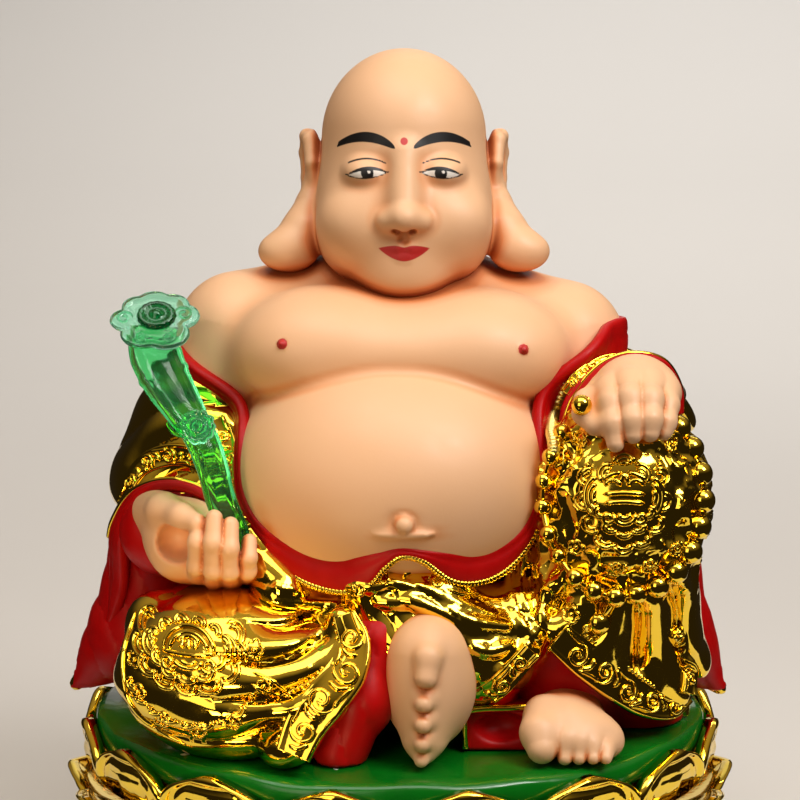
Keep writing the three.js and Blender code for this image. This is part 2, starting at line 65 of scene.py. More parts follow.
def ball(centre, radii):
    centre = np.array(centre, float)
    radii = np.array(radii, float)

    def form(p):
        q = p - centre
        near = np.sqrt(((q / radii) ** 2).sum(1))
        slope = np.sqrt(((q / radii ** 2) ** 2).sum(1))
        return near * (near - 1.0) / np.maximum(slope, 1e-6)

    return form


def limb(start, end, first, last):
    start = np.array(start, float)
    axis = np.array(end, float) - start
    square = float(axis @ axis)

    def form(p):
        off = p - start
        t = np.clip(off @ axis / square, 0.0, 1.0)
        away = off - t[:, None] * axis
        return np.sqrt((away ** 2).sum(1)) - (first + (last - first) * t)

    return form


def block(centre, half, rounding):
    centre = np.array(centre, float)
    half = np.array(half, float) - rounding

    def form(p):
        q = np.abs(p - centre) - half
        return np.sqrt((np.maximum(q, 0.0) ** 2).sum(1)) + np.minimum(q.max(1), 0.0) - rounding

    return form


def chain(points, radii, softness):
    pieces = [limb(points[i], points[i + 1], radii[i], radii[i + 1]) for i in range(len(points) - 1)]
    return fenced(blend(softness, *pieces), points, max(radii) + 1.0)


def fenced(form, points, margin):
    """The same form, worked out only near the points; further off it gives the way to a ball round them."""
    points = np.array(points, float)
    centre = 0.5 * (points.min(0) + points.max(0))
    reach = np.sqrt(((points - centre) ** 2).sum(1)).max() + margin

    def result(p):
        away = np.sqrt(((p - centre) ** 2).sum(1)) - reach
        near = away < NEAR_ENOUGH
        away[near] = form(p[near])
        return away

    return result


def blend(softness, *forms):
    def form(p):
        nearest = forms[0](p)
        for other in forms[1:]:
            d = other(p)
            h = np.maximum(softness - np.abs(nearest - d), 0.0)
            nearest = np.minimum(nearest, d) - h * h / (4.0 * softness)
        return nearest

    return form


def carved(form, tool, softness):
    def result(p):
        a = form(p)
        b = -tool(p)
        h = np.maximum(softness - np.abs(a - b), 0.0)
        return np.maximum(a, b) + h * h / (4.0 * softness)

    return result


def folded(form, height, turns, reach, sharpness=0.75):
    """Rounded ridges with narrow valleys, where the phase passes whole turns."""
    def result(p):
        wave = np.abs(np.cos(np.pi * turns(p))) ** sharpness
        return form(p) - height * (2.0 * wave - 1.0) * reach(p)

    return result


def above_seat(form):
    return lambda p: np.maximum(form(p), REST - p[:, 2])


PROBE = 0.04


def gradient(form, p):
    signs = np.array([[1, -1, -1], [-1, -1, 1], [-1, 1, -1], [1, 1, 1]], float)
    total = np.zeros_like(p)
    for s in signs:
        total += s * form(p + s * PROBE)[:, None]
    return total / (4.0 * PROBE)


LATTICE = np.random.default_rng(7).uniform(-1.0, 1.0, (32, 32, 32))


def cloud(p, size):
    """Smooth noise between about -1 and 1, with lumps of the given size."""
    q = p / size + 100.0
    cell = np.floor(q).astype(int)
    f = q - cell
    f = f * f * (3.0 - 2.0 * f)
    total = np.zeros(len(p))
    for corner in CORNERS:
        weight = np.prod(np.where(corner == 1, f, 1.0 - f), axis=1)
        at = (cell + corner) & 31
        total += weight * LATTICE[at[:, 0], at[:, 1], at[:, 2]]
    return total


def crumpled(form, height, size, reach):
    """Sharp creases and flat facets, as in foil."""
    def result(p):
        first = 1.0 - 2.2 * np.abs(cloud(p, size))
        second = 1.0 - 2.2 * np.abs(cloud(p + 40.0, 0.55 * size))
        return form(p) - height * (0.65 * first + 0.35 * second) * reach(p)

    return result


# Meshing: a net of points drawn over a form's surface, finer where a smaller step is asked for.

BLOCK = 8
EDGES = [(a, b) for a in range(8) for b in range(a + 1, 8) if np.abs(CORNERS[a] - CORNERS[b]).sum() == 1]


def in_chunks(form, points):
    result = np.empty(len(points))
    for start in range(0, len(points), ROWS_AT_ONCE):
        part = slice(start, start + ROWS_AT_ONCE)
        result[part] = form(points[part])
    return result


def sampled(form, low, counts, step):
    cells = np.stack(np.meshgrid(*[np.arange(n) for n in counts], indexing="ij"), -1).reshape(-1, 3)
    rough = in_chunks(form, low + (cells * BLOCK + 3.5) * step)
    values = np.empty((counts[0], BLOCK, counts[1], BLOCK, counts[2], BLOCK), np.float32)
    values[...] = rough.reshape(tuple(counts))[:, None, :, None, :, None]
    inner = np.stack(np.meshgrid(*[np.arange(BLOCK)] * 3, indexing="ij"), -1).reshape(-1, 3) * step
    near = cells[np.abs(rough) < 11.0 * step + 0.6]
    for start in range(0, len(near), CELLS_AT_ONCE):
        part = near[start:start + CELLS_AT_ONCE]
        points = low + part[:, None] * (BLOCK * step) + inner[None]
        fine = form(points.reshape(-1, 3)).reshape(-1, BLOCK, BLOCK, BLOCK)
        values[part[:, 0], :, part[:, 1], :, part[:, 2], :] = fine
    return values.reshape([n * BLOCK for n in counts])


def net(form, low, high, step):
    """Points and quads over the zero surface of a form inside a box."""
    low = np.array(low, float)
    counts = np.ceil((np.array(high, float) - low) / (step * BLOCK)).astype(int)
    values = sampled(form, low, counts, step)
    inside = values < 0
    total = np.zeros([n - 1 for n in inside.shape], np.uint8)
    for i, j, k in CORNERS:
        total += inside[i:i + total.shape[0], j:j + total.shape[1], k:k + total.shape[2]]
    active = (total > 0) & (total < 8)
    cells = np.argwhere(active)
    number = np.full(active.shape, -1, np.int32)
    number[active] = np.arange(len(cells))
    corner = np.stack([values[tuple((cells + c).T)] for c in CORNERS], 1).astype(float)
    place = np.zeros((len(cells), 3))
    hits = np.zeros(len(cells))
    for a, b in EDGES:
        crossing = (corner[:, a] < 0) != (corner[:, b] < 0)
        gap = np.where(crossing, corner[:, a] - corner[:, b], 1.0)
        t = np.where(crossing, corner[:, a] / gap, 0.0)
        place += crossing[:, None] * (CORNERS[a] + t[:, None] * (CORNERS[b] - CORNERS[a]))
        hits += crossing
    points = low + (cells + place / hits[:, None]) * step
    quads = []
    for axis in range(3):
        u, w = (axis + 1) % 3, (axis + 2) % 3
        first = np.take(inside, range(inside.shape[axis] - 1), axis)
        second = np.take(inside, range(1, inside.shape[axis]), axis)
        at = np.argwhere(first != second)
        keep = (at[:, u] > 0) & (at[:, w] > 0)
        keep &= (at[:, u] < active.shape[u]) & (at[:, w] < active.shape[w])
        at = at[keep]
        outward = first[tuple(at.T)]
        ring = []
        for du, dw in ((1, 1), (0, 1), (0, 0), (1, 0)):
            c = at.copy()
            c[:, u] -= du
            c[:, w] -= dw
            ring.append(number[tuple(c.T)])
        ring = np.stack(ring, 1)
        ring[~outward] = ring[~outward][:, ::-1]
        quads.append(ring)
    quads = np.concatenate(quads)
    quads = quads[(quads >= 0).all(1)]
    return settled(form, points, step), quads


def settled(form, points, step):
    """The points moved onto a form's surface, in two rounds of less than half a step each."""
    for _ in range(2):
        d = form(points)
        slope = gradient(form, points)
        move = d[:, None] * slope / np.maximum((slope ** 2).sum(1), 0.1)[:, None]
        length = np.sqrt((move ** 2).sum(1))
        move *= np.minimum(1.0, 0.5 * step / np.maximum(length, 1e-9))[:, None]
        points = points - move
    return points


# Slots of the materials that aren't named after their slot.
SLOTS = {
    "painted_skin": "skin_paint",
    "gold_cord_painted_highlight": "gold_plating",
    "clear_pale_green": "clear_green",
    "clear_knot_green_and_highlight": "clear_green",
    "clear_deep_green": "clear_green",
}


def made(name, points, quads, material, node, normals=None, extra=None, tris=None):
    """A piece of the scene from points in shares and rows of point numbers."""
    # Blender adds a number to a name that the loaded parts already use.
    paint = material.name.split(".")[0]
    mesh = bpy.data.meshes.new(name)
    quads = np.asarray(quads, np.int32)
    tris = np.zeros((0, 3), np.int32) if tris is None else np.asarray(tris, np.int32)
    corners = np.concatenate([quads.ravel(), tris.ravel()])
    sizes = np.concatenate([np.full(len(quads), 4), np.full(len(tris), 3)]).astype(np.int32)
    starts = np.concatenate([[0], np.cumsum(sizes)[:-1]]).astype(np.int32)
    mesh.vertices.add(len(points))
    mesh.vertices.foreach_set("co", to_metres(points).astype(np.float32).ravel())
    mesh.loops.add(len(corners))
    mesh.loops.foreach_set("vertex_index", corners)
    mesh.polygons.add(len(sizes))
    mesh.polygons.foreach_set("loop_start", starts)
    mesh.polygons.foreach_set("loop_total", sizes)
    mesh.update(calc_edges=True)
    mesh.polygons.foreach_set("use_smooth", np.ones(len(sizes), bool))
    if normals is not None:
        mesh.normals_split_custom_set_from_vertices(normals.tolist())
    for key, values in (extra or {}).items():
        attribute = mesh.attributes.new(key, "FLOAT", "POINT")
        attribute.data.foreach_set("value", np.asarray(values, np.float32))
    mesh.materials.append(material)
    piece = bpy.data.objects.new(name, mesh)
    bpy.context.scene.collection.objects.link(piece)
    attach(piece, "root")
    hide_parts(node)
    SLOTS.get(paint, paint)
    return piece


FAR = 5.0


def plain_paint(points):
    return {key: np.full(len(points), FAR) for key in ("dark", "white", "lips")}


def painted_shade_share(form, points, normals):
    """How shut in each point is by the shapes about it, from 0 in the open to 1 in a crease; the skin's
    painted shade follows it.
    """
    total = np.zeros(len(points))
    for reach, weight in ((0.7, 0.3), (1.8, 0.4), (4.2, 0.3)):
        total += weight * np.clip(1.0 - in_chunks(form, points + normals * reach) / reach, 0.0, 1.0)
    return total


def draped(name, form, low, high, step, material, paint=None):
    """A piece of the figure whose surface is a form's own, meshed between two corners of a box."""
    points, quads = net(form, low, high, step)
    normals = outward_at(form, points)
    extra = None
    if paint:
        extra = paint(points)
        # Painted shade: how shut in each point is, for darkening the skin in creases.
        extra["hollow"] = painted_shade_share(everything, points, normals)
    return made(name, points, quads, material, "figure", normals, extra)


# Materials.

def linear(r, g, b):
    return tuple(c / 12.92 if c <= 0.04045 else ((c + 0.055) / 1.055) ** 2.4 for c in (r, g, b)) + (1.0,)


class Nodes:
    """Short names for building one material's nodes."""

    def __init__(self, name):
        self.material = bpy.data.materials.new(name)
        self.material.use_nodes = True
        self.tree = self.material.node_tree
        self.shader = self.tree.nodes["Principled BSDF"]

    def add(self, kind, **settings):
        node = self.tree.nodes.new(kind)
        for key, value in settings.items():
            if key in node.inputs:
                node.inputs[key].default_value = value
            else:
                setattr(node, key, value)
        return node

    def link(self, out, into):
        self.tree.links.new(out, into)

    def place(self):
        return self.add("ShaderNodeTexCoord").outputs["Object"]

    def noise(self, scale, detail=3.0, roughness=0.5):
        node = self.add("ShaderNodeTexNoise", Scale=scale, Detail=detail, Roughness=roughness)
        self.link(self.place(), node.inputs["Vector"])
        return node.outputs["Fac"]

    def spread(self, value, low, high, first, last):
        node = self.add("ShaderNodeMapRange")
        for key, limit in (("From Min", low), ("From Max", high), ("To Min", first), ("To Max", last)):
            node.inputs[key].default_value = limit
        self.link(value, node.inputs["Value"])
        return node.outputs["Result"]

    def mixed(self, factor, first, last):
        node = self.add("ShaderNodeMix", data_type="RGBA")
        self.link(factor, node.inputs["Factor"])
        for side, value in (("A", first), ("B", last)):
            colour = [s for s in node.inputs if s.name == side and s.type == "RGBA"][0]
            if isinstance(value, tuple):
                colour.default_value = value
            else:
                self.link(value, colour)
        return [s for s in node.outputs if s.type == "RGBA"][0]

    def bump(self, height, strength, distance):
        node = self.add("ShaderNodeBump", Strength=strength, Distance=distance)
        self.link(height, node.inputs["Height"])
        return node.outputs["Normal"]


def gold_material(name, low, high, colour, other):
    n = Nodes(name)
    patches = n.noise(55.0, 4.0)
    n.link(n.mixed(patches, linear(*colour), linear(*other)), n.shader.inputs["Base Color"])
    n.shader.inputs["Metallic"].default_value = 1.0
    n.link(n.spread(n.noise(160.0, 4.0), 0.35, 0.7, low, high), n.shader.inputs["Roughness"])
    n.link(n.bump(n.noise(420.0, 2.0), 0.05, 0.0006), n.shader.inputs["Normal"])
    return n.material


def skin_material():
    n = Nodes("painted_skin")
    base = n.mixed(n.noise(38.0, 4.0), linear(0.93, 0.74, 0.575), linear(0.91, 0.71, 0.53))
    # Painted shade: the skin turns orange-brown where it is shut in, in creases and between parts.
    hollow = n.add("ShaderNodeAttribute", attribute_name="hollow").outputs["Fac"]
    base = n.mixed(n.spread(hollow, 0.12, 0.5, 0.0, 0.8), base, linear(0.88, 0.52, 0.27))
    base = n.mixed(n.spread(hollow, 0.45, 0.9, 0.0, 0.9), base, linear(0.64, 0.31, 0.14))

    def where(key, edge):
        attribute = n.add("ShaderNodeAttribute", attribute_name=key)
        return n.spread(attribute.outputs["Fac"], -edge, edge, 1.0, 0.0)

    lips = where("lips", 0.07)
    white = where("white", 0.05)
    dark = where("dark", 0.05)
    base = n.mixed(lips, base, linear(0.74, 0.15, 0.14))
    base = n.mixed(white, base, linear(0.93, 0.90, 0.86))
    base = n.mixed(dark, base, linear(0.055, 0.04, 0.04))
    n.link(base, n.shader.inputs["Base Color"])
    rough = n.spread(n.noise(220.0, 3.0), 0.3, 0.7, 0.42, 0.54)
    n.link(rough, n.shader.inputs["Roughness"])
    n.link(n.bump(n.noise(900.0, 2.0), 0.06, 0.0004), n.shader.inputs["Normal"])
    return n.material


def red_material():
    n = Nodes("red_paint")
    base = n.mixed(n.noise(90.0, 3.0), linear(0.76, 0.04, 0.04), linear(0.62, 0.01, 0.02))
    n.shader.inputs["Specular IOR Level"].default_value = 0.2
    chips = n.spread(n.noise(74.0, 1.5, 0.4), 0.775, 0.782, 0.0, 1.0)
    n.link(n.mixed(chips, base, linear(0.9, 0.8, 0.78)), n.shader.inputs["Base Color"])
    n.link(n.spread(n.noise(200.0, 3.0), 0.3, 0.7, 0.34, 0.5), n.shader.inputs["Roughness"])
    n.link(n.bump(n.noise(260.0, 3.0), 0.12, 0.0008), n.shader.inputs["Normal"])
    return n.material


def green_material():
    n = Nodes("green_paint")
    base = n.mixed(n.noise(60.0, 4.0), linear(0.04, 0.46, 0.10), linear(0.03, 0.36, 0.06))
    chips = n.spread(n.noise(88.0, 1.5, 0.4), 0.765, 0.772, 0.0, 1.0)
    n.link(n.mixed(chips, base, linear(0.85, 0.86, 0.8)), n.shader.inputs["Base Color"])
    n.link(n.spread(n.noise(150.0, 3.0), 0.3, 0.7, 0.12, 0.26), n.shader.inputs["Roughness"])
    n.link(n.bump(n.noise(60.0, 3.0), 0.25, 0.0015), n.shader.inputs["Normal"])
    return n.material


def clear_material(name, colour, low, high, through, bend):
    n = Nodes(name)
    n.shader.inputs["Base Color"].default_value = linear(*colour)
    n.shader.inputs["Transmission Weight"].default_value = through
    n.shader.inputs["IOR"].default_value = bend
    n.link(n.spread(n.noise(180.0, 3.0), 0.3, 0.7, low, high), n.shader.inputs["Roughness"])
    n.link(n.bump(n.noise(240.0, 3.0), 0.12, 0.001), n.shader.inputs["Normal"])
    return n.material


gold = gold_material("gold_plating", 0.03, 0.12, (0.98, 0.85, 0.30), (0.97, 0.81, 0.25))
# A paler, rougher copy of the gold for the collar's piping: the pale tone is a painted highlight.
highlight_cord_gold = gold_material("gold_cord_painted_highlight", 0.3, 0.46, (0.99, 0.94, 0.62), (0.98, 0.9, 0.5))
skin = skin_material()
red = red_material()
green = green_material()
clear = clear_material("clear_green", (0.38, 0.91, 0.55), 0.05, 0.13, 0.95, 1.28)
pale = clear_material("clear_pale_green", (0.66, 0.94, 0.80), 0.07, 0.17, 0.95, 1.4)
# A lighter copy of the clear green for the ruyi's knot: partly the knot's own paler plastic, partly a painted
# highlight.
knot_tint_and_highlight = clear_material("clear_knot_green_and_highlight", (0.55, 0.94, 0.74), 0.04, 0.1, 0.93, 1.45)
deep = clear_material("clear_deep_green", (0.06, 0.50, 0.27), 0.04, 0.1, 0.85, 1.5)

# Head.

BROW_LEVEL = 86.2
EYE_LEVEL = 82.4
NOSE_LEVEL = 75.4
MOUTH_LEVEL = 71.2
EYE_SPACING = 5.4


def both_sides(make):
    return [make(-1.0), make(1.0)]


def ear_form(side):
    def at(x, y, z):
        return [MIDDLE + side * x, y, z]

    lobe = blend(
        1.6,
        chain([at(13.5, 4.0, 80), at(13.8, 2.6, 76), at(14.8, 0.4, 73), at(16.2, -0.9, 71)],
              [1.7, 2.6, 3.4, 3.4], 1.6),
        ball(at(17.6, -1.4, 70.0), [4.3, 3.4, 3.1]))
    shell = blend(1.0, ball(at(13.9, 5.6, 82), [1.5, 3.6, 5.8]), lobe)
    rim_line = [at(13.2, 2.6, 79), at(13.9, 2.2, 83), at(14.3, 4.0, 86.4), at(14.8, 6.4, 86.8),
                at(15.0, 8.2, 84.2), at(14.8, 7.8, 80.4), at(14.9, 6.0, 77.2), at(14.8, 4.4, 75.6)]
    rim = chain(rim_line, [0.7, 0.9, 1.0, 1.0, 1.0, 0.9, 0.9, 0.8], 0.6)
    hollow = ball(at(15.4, 5.2, 82.2), [1.1, 2.0, 3.2])
    return blend(0.8, carved(shell, hollow, 0.6), rim)


def face_form():
    skull = blend(
        3.4,
        ball([MIDDLE, 3.2, 86.8], [12.4, 14.4, 13.3]),
        ball([MIDDLE, -0.8, 77.4], [13.2, 12.6, 11.6]),
        ball([MIDDLE, -2.4, 71.8], [12.6, 11.6, 8.2]),
        ball([MIDDLE, -9.2, 67.3], [5.4, 4.6, 3.7]),
        *both_sides(lambda s: ball([MIDDLE + 7.2 * s, -8.2, 75.0], [5.2, 4.9, 4.6])))
    sockets = blend(0.5, *both_sides(lambda s: ball([MIDDLE + 5.4 * s, -16.4, 83.4], [4.6, 4.2, 2.6])))
    form = carved(skull, sockets, 2.8)
    lids = both_sides(lambda s: ball([MIDDLE + EYE_SPACING * s, -8.8, EYE_LEVEL - 0.1], [3.6, 3.9, 2.6]))
    form = blend(1.0, form, *lids)
    bridge = limb([MIDDLE, -11.2, EYE_LEVEL + 2.6], [MIDDLE, -14.4, NOSE_LEVEL + 1.6], 1.3, 1.9)
    form = blend(2.8, form, bridge)
    tip = blend(
        1.5,
        ball([MIDDLE, -15.4, NOSE_LEVEL + 0.7], [2.1, 2.0, 1.8]),
        *both_sides(lambda s: ball([MIDDLE + 2.3 * s, -13.9, NOSE_LEVEL + 0.2], [1.6, 1.8, 1.4])))
    form = blend(1.3, form, tip)
    nostrils = both_sides(lambda s: ball([MIDDLE + 1.15 * s, -15.0, NOSE_LEVEL - 1.2], [0.6, 0.9, 0.5]))
    form = carved(form, blend(0.2, *nostrils), 0.4)
    groove = limb([MIDDLE, -14.5, NOSE_LEVEL - 1.6], [MIDDLE, -14.3, MOUTH_LEVEL + 1.6], 0.42, 0.5)
    form = carved(form, groove, 0.9)
    upper = blend(0.5, *both_sides(lambda s: limb([MIDDLE + 0.75 * s, -13.6, MOUTH_LEVEL + 0.45],
                                                  [MIDDLE + 3.3 * s, -12.5, MOUTH_LEVEL + 0.35], 0.75, 0.3)))
    lower = blend(0.5, *both_sides(lambda s: limb([MIDDLE + 0.5 * s, -13.3, MOUTH_LEVEL - 0.85],
                                                  [MIDDLE + 2.9 * s, -12.4, MOUTH_LEVEL - 0.05], 0.9, 0.3)))
    return blend(0.9, form, blend(0.1, upper, lower))


EYE_WIDTH = 2.8
EYE_HEIGHT = 0.75
LIP_WIDTH = 3.7
DOT_LEVEL = 87.0


def face_paint(points):
    """Painted brows, eyes with a painted highlight in each iris, lips and the forehead's dot, as distances
    from their edges, negative inside.
    """
    off = points[:, 0] - MIDDLE
    x = np.abs(off)
    z = points[:, 2]
    across = (x - EYE_SPACING) / EYE_WIDTH
    arc = np.clip(1.0 - across ** 2, 0.0, 1.0)
    upper = EYE_LEVEL - 0.15 + EYE_HEIGHT * arc - 0.2 * across
    lower = EYE_LEVEL - 0.2 - 0.5 * arc - 0.2 * across
    eye = np.maximum(np.maximum(z - upper, lower - z), (np.abs(across) - 1.0) * EYE_WIDTH)
    lash = np.maximum(np.abs(z - upper - 0.1) - 0.26 * (0.4 + 0.6 * arc), (np.abs(across) - 1.15) * EYE_WIDTH)
    under = np.maximum(np.abs(z - lower + 0.02) - 0.1, (np.abs(across) - 1.0) * EYE_WIDTH)
    crease_line = EYE_LEVEL + 1.1 + 0.95 * np.clip(1.0 - (across * 0.85) ** 2, 0, 1)
    crease = np.maximum(np.abs(z - crease_line) - 0.12, (np.abs(across) - 1.0) * EYE_WIDTH)
    iris = np.maximum(np.hypot(x - EYE_SPACING + 0.05, z - EYE_LEVEL - 0.02) - 0.92, eye)
    # Painted highlight: a pale spot left in each dark iris.
    glint = np.hypot(off - EYE_SPACING * np.sign(off) - 0.3, z - EYE_LEVEL - 0.18)
    along = (x - 6.0) / 4.7
    ridge = BROW_LEVEL + 1.3 - 1.7 * along ** 2 - 0.25 * along
    thick = 0.72 * np.clip(1.0 - along ** 2, 0.0, 1.0) ** 0.5 * (1.0 - 0.25 * along)
    brow = np.abs(z - ridge) - thick
    dark = np.minimum(np.minimum(brow, lash), np.minimum(crease, under))
    dark = np.minimum(dark, np.maximum(iris, 0.24 - glint))
    lip_x = off / LIP_WIDTH
    bow = np.clip(1.0 - lip_x ** 2, 0.0, 1.0)
    corner = 0.55 * np.abs(lip_x) ** 1.5
    top = MOUTH_LEVEL - 0.1 + 0.95 * bow + corner - 0.25 * np.exp(-(lip_x / 0.2) ** 2)
    bottom = MOUTH_LEVEL - 0.2 - 1.25 * bow + corner
    lips = np.maximum(np.maximum(z - top, bottom - z), (np.abs(lip_x) - 1.0) * LIP_WIDTH)
    dot = np.hypot(off, z - DOT_LEVEL) - 0.55
    away = np.where(points[:, 1] < -6.0, 0.0, FAR)
    return {"dark": dark + away, "white": eye + away, "lips": np.minimum(lips, dot) + away}


def head_form():
    return blend(1.0, face_form(), ear_form(-1.0), ear_form(1.0))


def bare_torso_form():
    chest = blend(
        5.0,
        ball([0.2, 1, 55.5], [25, 14.5, 9.8]),
        ball([-12.2, -9.0, 56.3], [12.6, 11.8, 9.0]),
        ball([12.8, -9.0, 55.8], [12.6, 11.8, 9.0]),
        ball([0.2, -8.2, 56.2], [17, 12.9, 7.4]),
        limb([MIDDLE, 4, 64], [MIDDLE, 3, 57], 11, 13))
    arms = blend(
        2.5,
        limb([-5, 4, 62.5], [-24.4, 2.0, 57.4], 8.0, 9.0),
        limb([5.5, 4, 62.5], [24.6, 2.0, 56.2], 8.0, 8.8),
        limb([-24.6, 0.0, 56.8], [-27.6, -3.0, 47], 8.9, 7.0),
        limb([25.0, 0.0, 55.6], [28.4, -3.0, 47], 8.7, 7.0),
        ball([-23.4, -4.4, 52.4], [5.6, 6.4, 8.0]),
        ball([23.8, -4.4, 51.8], [5.6, 6.4, 8.0]))
    belly = ball([-0.8, -9, 37.5], [25, 24.6, 19.5])
    form = blend(1.3, blend(3.0, chest, arms), belly)
    navel = blend(0.6, ball([0.6, -33.4, 34.7], [1.3, 1.3, 1.3]), ball([0.6, -32.6, 33.2], [4.2, 1.1, 0.75]))
    ring = ball([0.6, -34.9, 34.8], [3.6, 1.7, 2.2])
    return blend(0.7, carved(form, ring, 0.9), navel)


NIPPLES = [[-17.0, 58.4], [17.8, 57.6]]


def nipples_on(form):
    return [[x, front_of(form, [x], [z])[0] - 0.1, z] for x, z in NIPPLES]


def torso_form():
    form = fenced(bare_torso_form(), [[-36, -30, 20], [36, 16, 68]], 1.0)
    return blend(0.25, form, *[ball(place, [0.62, 0.7, 0.56]) for place in nipples_on(form)])


def torso_paint(points):
    places = nipples_on(bare_torso_form())
    near = np.min([np.sqrt(((points - place) ** 2).sum(1)) for place in places], 0)
    return dict(plain_paint(points), lips=near - 0.85)


# Robe.

def back_form():
    base = blend(
        7,
        ball([0, 10, 33], [31, 18, 25]),
        ball([0, 8, 8], [36, 21, 14]),
        limb([-22, 7, 50], [22, 7, 50], 9.5, 9.5))

    def hanging(p):
        return np.hypot(0.8 * p[:, 0] + 3.0, p[:, 2] - 68.0) / 8.0 + 0.35 * cloud(p, 14)

    return folded(base, 0.5, hanging, lambda p: smooth(p[:, 1], 4, 12))


def right_sleeve_form():
    base = blend(
        5,
        limb([-25.5, 5, 49.5], [-35, 3, 35], 8.6, 8.4),
        limb([-35, 3, 35], [-34.4, -9.5, 29.5], 8.2, 7.4),
        ball([-30.5, 3.5, 46.5], [8.6, 8.4, 7.6]),
        limb([-30.0, -2.6, 47.0], [-32.5, -4.0, 36.0], 7.2, 8.2),
        ball([-26, -4, 37], [8, 12, 14]))

    def beside_band(p):
        line = np.interp(p[:, 2], [28, 36, 40.6, 46, 51.5, 56], [-16.0, -20.6, -22.0, -23.6, -26.6, -31.0])
        return np.maximum(base(p), 0.8 * (p[:, 0] - line) - 8.0 * smooth(p[:, 1], -4.0, 4.0))

    def turns(p):
        return np.hypot(p[:, 0] + 29.5, p[:, 2] - 27 + 0.25 * p[:, 1]) / 5.4 + 0.12 * cloud(p, 7)

    return folded(beside_band, 0.38, turns, lambda p: smooth(p[:, 2] - p[:, 0], 62, 70), 0.9)


def left_sleeve_form():
    base = blend(
        5,
        limb([25.5, 5, 49], [35, 6, 43], 8.6, 8.2),
        limb([35, 6, 43], [34.2, -10.5, 48.5], 8.2, 6.2),
        limb([36, 5, 40], [39, 4, 28], 7.4, 6.6))

    def turns(p):
        return (p[:, 2] + 0.6 * p[:, 0] + 0.5 * p[:, 1]) / 5.2 + 0.15 * cloud(p, 8)

    return folded(base, 0.75, turns, lambda p: smooth(p[:, 2] + p[:, 0], 58, 72))


def right_end_form():
    return blend(
        5,
        limb([-36, 1, 27], [-42.4, 2, 9], 7.6, 5.4),
        limb([-37, 9, 27], [-41, 10, 8], 6.5, 5.6),
        limb([-43, 3, 9], [-50.6, 3.4, 1.7], 4.6, 1.1))


def left_end_form():
    return blend(
        5,
        limb([38, 4, 32], [42.6, 2, 9], 6.6, 5.2),
        limb([37, 10, 30], [41, 10, 8], 6.5, 5.4),
        limb([43, 3, 9], [50.0, 3.4, 0.9], 4.6, 1.1))


def right_leg_base():
    base = blend(
        5,
        ball([-25, -23.5, 11.2], [16.2, 13, 11.8]),
        limb([-12, 0, 12], [-27, -12, 12], 12.5, 11.5),
        limb([-22, -25, 10.5], [-9.5, -29.0, 11.0], 10.6, 7.0))
    return blend(2.5, base, limb([-30, -18, 14.4], [-35.6, -19.0, 17.2], 7.0, 4.6))


def right_leg_form():
    facing = [[-8.2, -30.4, 20.2], [-8.0, -31.8, 15.0], [-11.8, -33.8, 9.6], [-15.2, -34.6, 3.6]]
    base = blend(2.0, right_leg_base(), chain(facing, [2.2, 2.9, 3.4, 3.8], 1.5))

    def fan(p):
        return np.arctan2(24.5 - p[:, 2], -3.0 - p[:, 0])

    def turns(p):
        return 3.6 * (fan(p) + 0.026 * np.hypot(p[:, 0] + 3, p[:, 2] - 24.5)) + 0.12 * cloud(p, 6)

    def reach(p):
        across = smooth(fan(p), 0.16, 0.4) * smooth(-p[:, 0], 9, 15)
        low = smooth(17.0 - p[:, 2], 0, 8)
        return across * np.maximum(smooth(p[:, 0], -31, -19), 0.55 * low) * smooth(-p[:, 1], 2, 12)

    return folded(base, 1.05, turns, reach, 0.62)


LEFT_HEM = [
    [20.6, -28.6, 18.6], [22.2, -28.6, 17.4], [26.4, -27.6, 13.6], [30.8, -25.6, 9.8], [35.4, -22.8, 6.2],
    [39.4, -19.4, 4.4], [42.2, -16.0, 5.4], [43.2, -13.0, 8.4]]


def under_hem(p):
    """Below the edge of the cloth over the left foot; negative inside."""
    line = np.array(LEFT_HEM)
    edge = np.interp(p[:, 0], line[:, 0], line[:, 2] - 1.8, left=18.0)
    left = np.interp(p[:, 2], [0.0, 4.0, 8.0, 12.0, 17.0], [8.6, 9.4, 12.0, 16.0, 20.4])
    return np.maximum(np.maximum(0.8 * (p[:, 2] - edge), left - p[:, 0]), p[:, 1] + 10.0)


def leg_core(grow=0.0):
    return blend(
        4,
        ball([32, -17.5, 36.8], [12.2, 12.8, 13.6]),
        limb([15, 2, 14], [29, -12, 30], 12, 10),
        limb([31.5, -18, 34], [24.5, -17.5, 12], 10.8 + grow, 9.2 + grow),
        limb([32.5, -18, 34], [35.5, -11, 9], 10.6 + grow, 8.4 + grow),
        limb([35.5, -11, 9], [36.4, -9.5, 1], 8.4 + grow, 7.4 + grow),
        limb([24.5, -17.5, 12], [24.5, -15.0, 2], 8.6 + grow, 8.6 + grow))


def left_leg_form():
    base = leg_core()
    line = np.array(LEFT_HEM)
    flare = chain([[x, y + 2.0, z + 0.4] for x, y, z in LEFT_HEM], [1.7] * len(line), 0.6)
    base = blend(3.2, base, flare)

    def fan(p):
        return np.arctan2(p[:, 0] - 31, 46 - p[:, 2])

    def shank(p):
        return smooth(27 - p[:, 2], 0, 6) * smooth(p[:, 2] + 0.75 * p[:, 0], 33, 40)

    cloth = folded(base, 1.2, lambda p: 4.6 * fan(p) + 0.2 * cloud(p, 7), shank, 0.6)

    def ring(p):
        away = np.hypot((p[:, 0] - 32.2) / 7.2, (p[:, 2] - 37.6) / 7.6)
        return smooth(away, 0.9, 1.1) * smooth(p[:, 2], 19, 26) * smooth(-p[:, 1], 8, 14)

    return carved(crumpled(cloth, 1.05, 3.6, ring), under_hem, 0.5)


# Long folds of the cloth over the lap, drawn in front view as x and z.

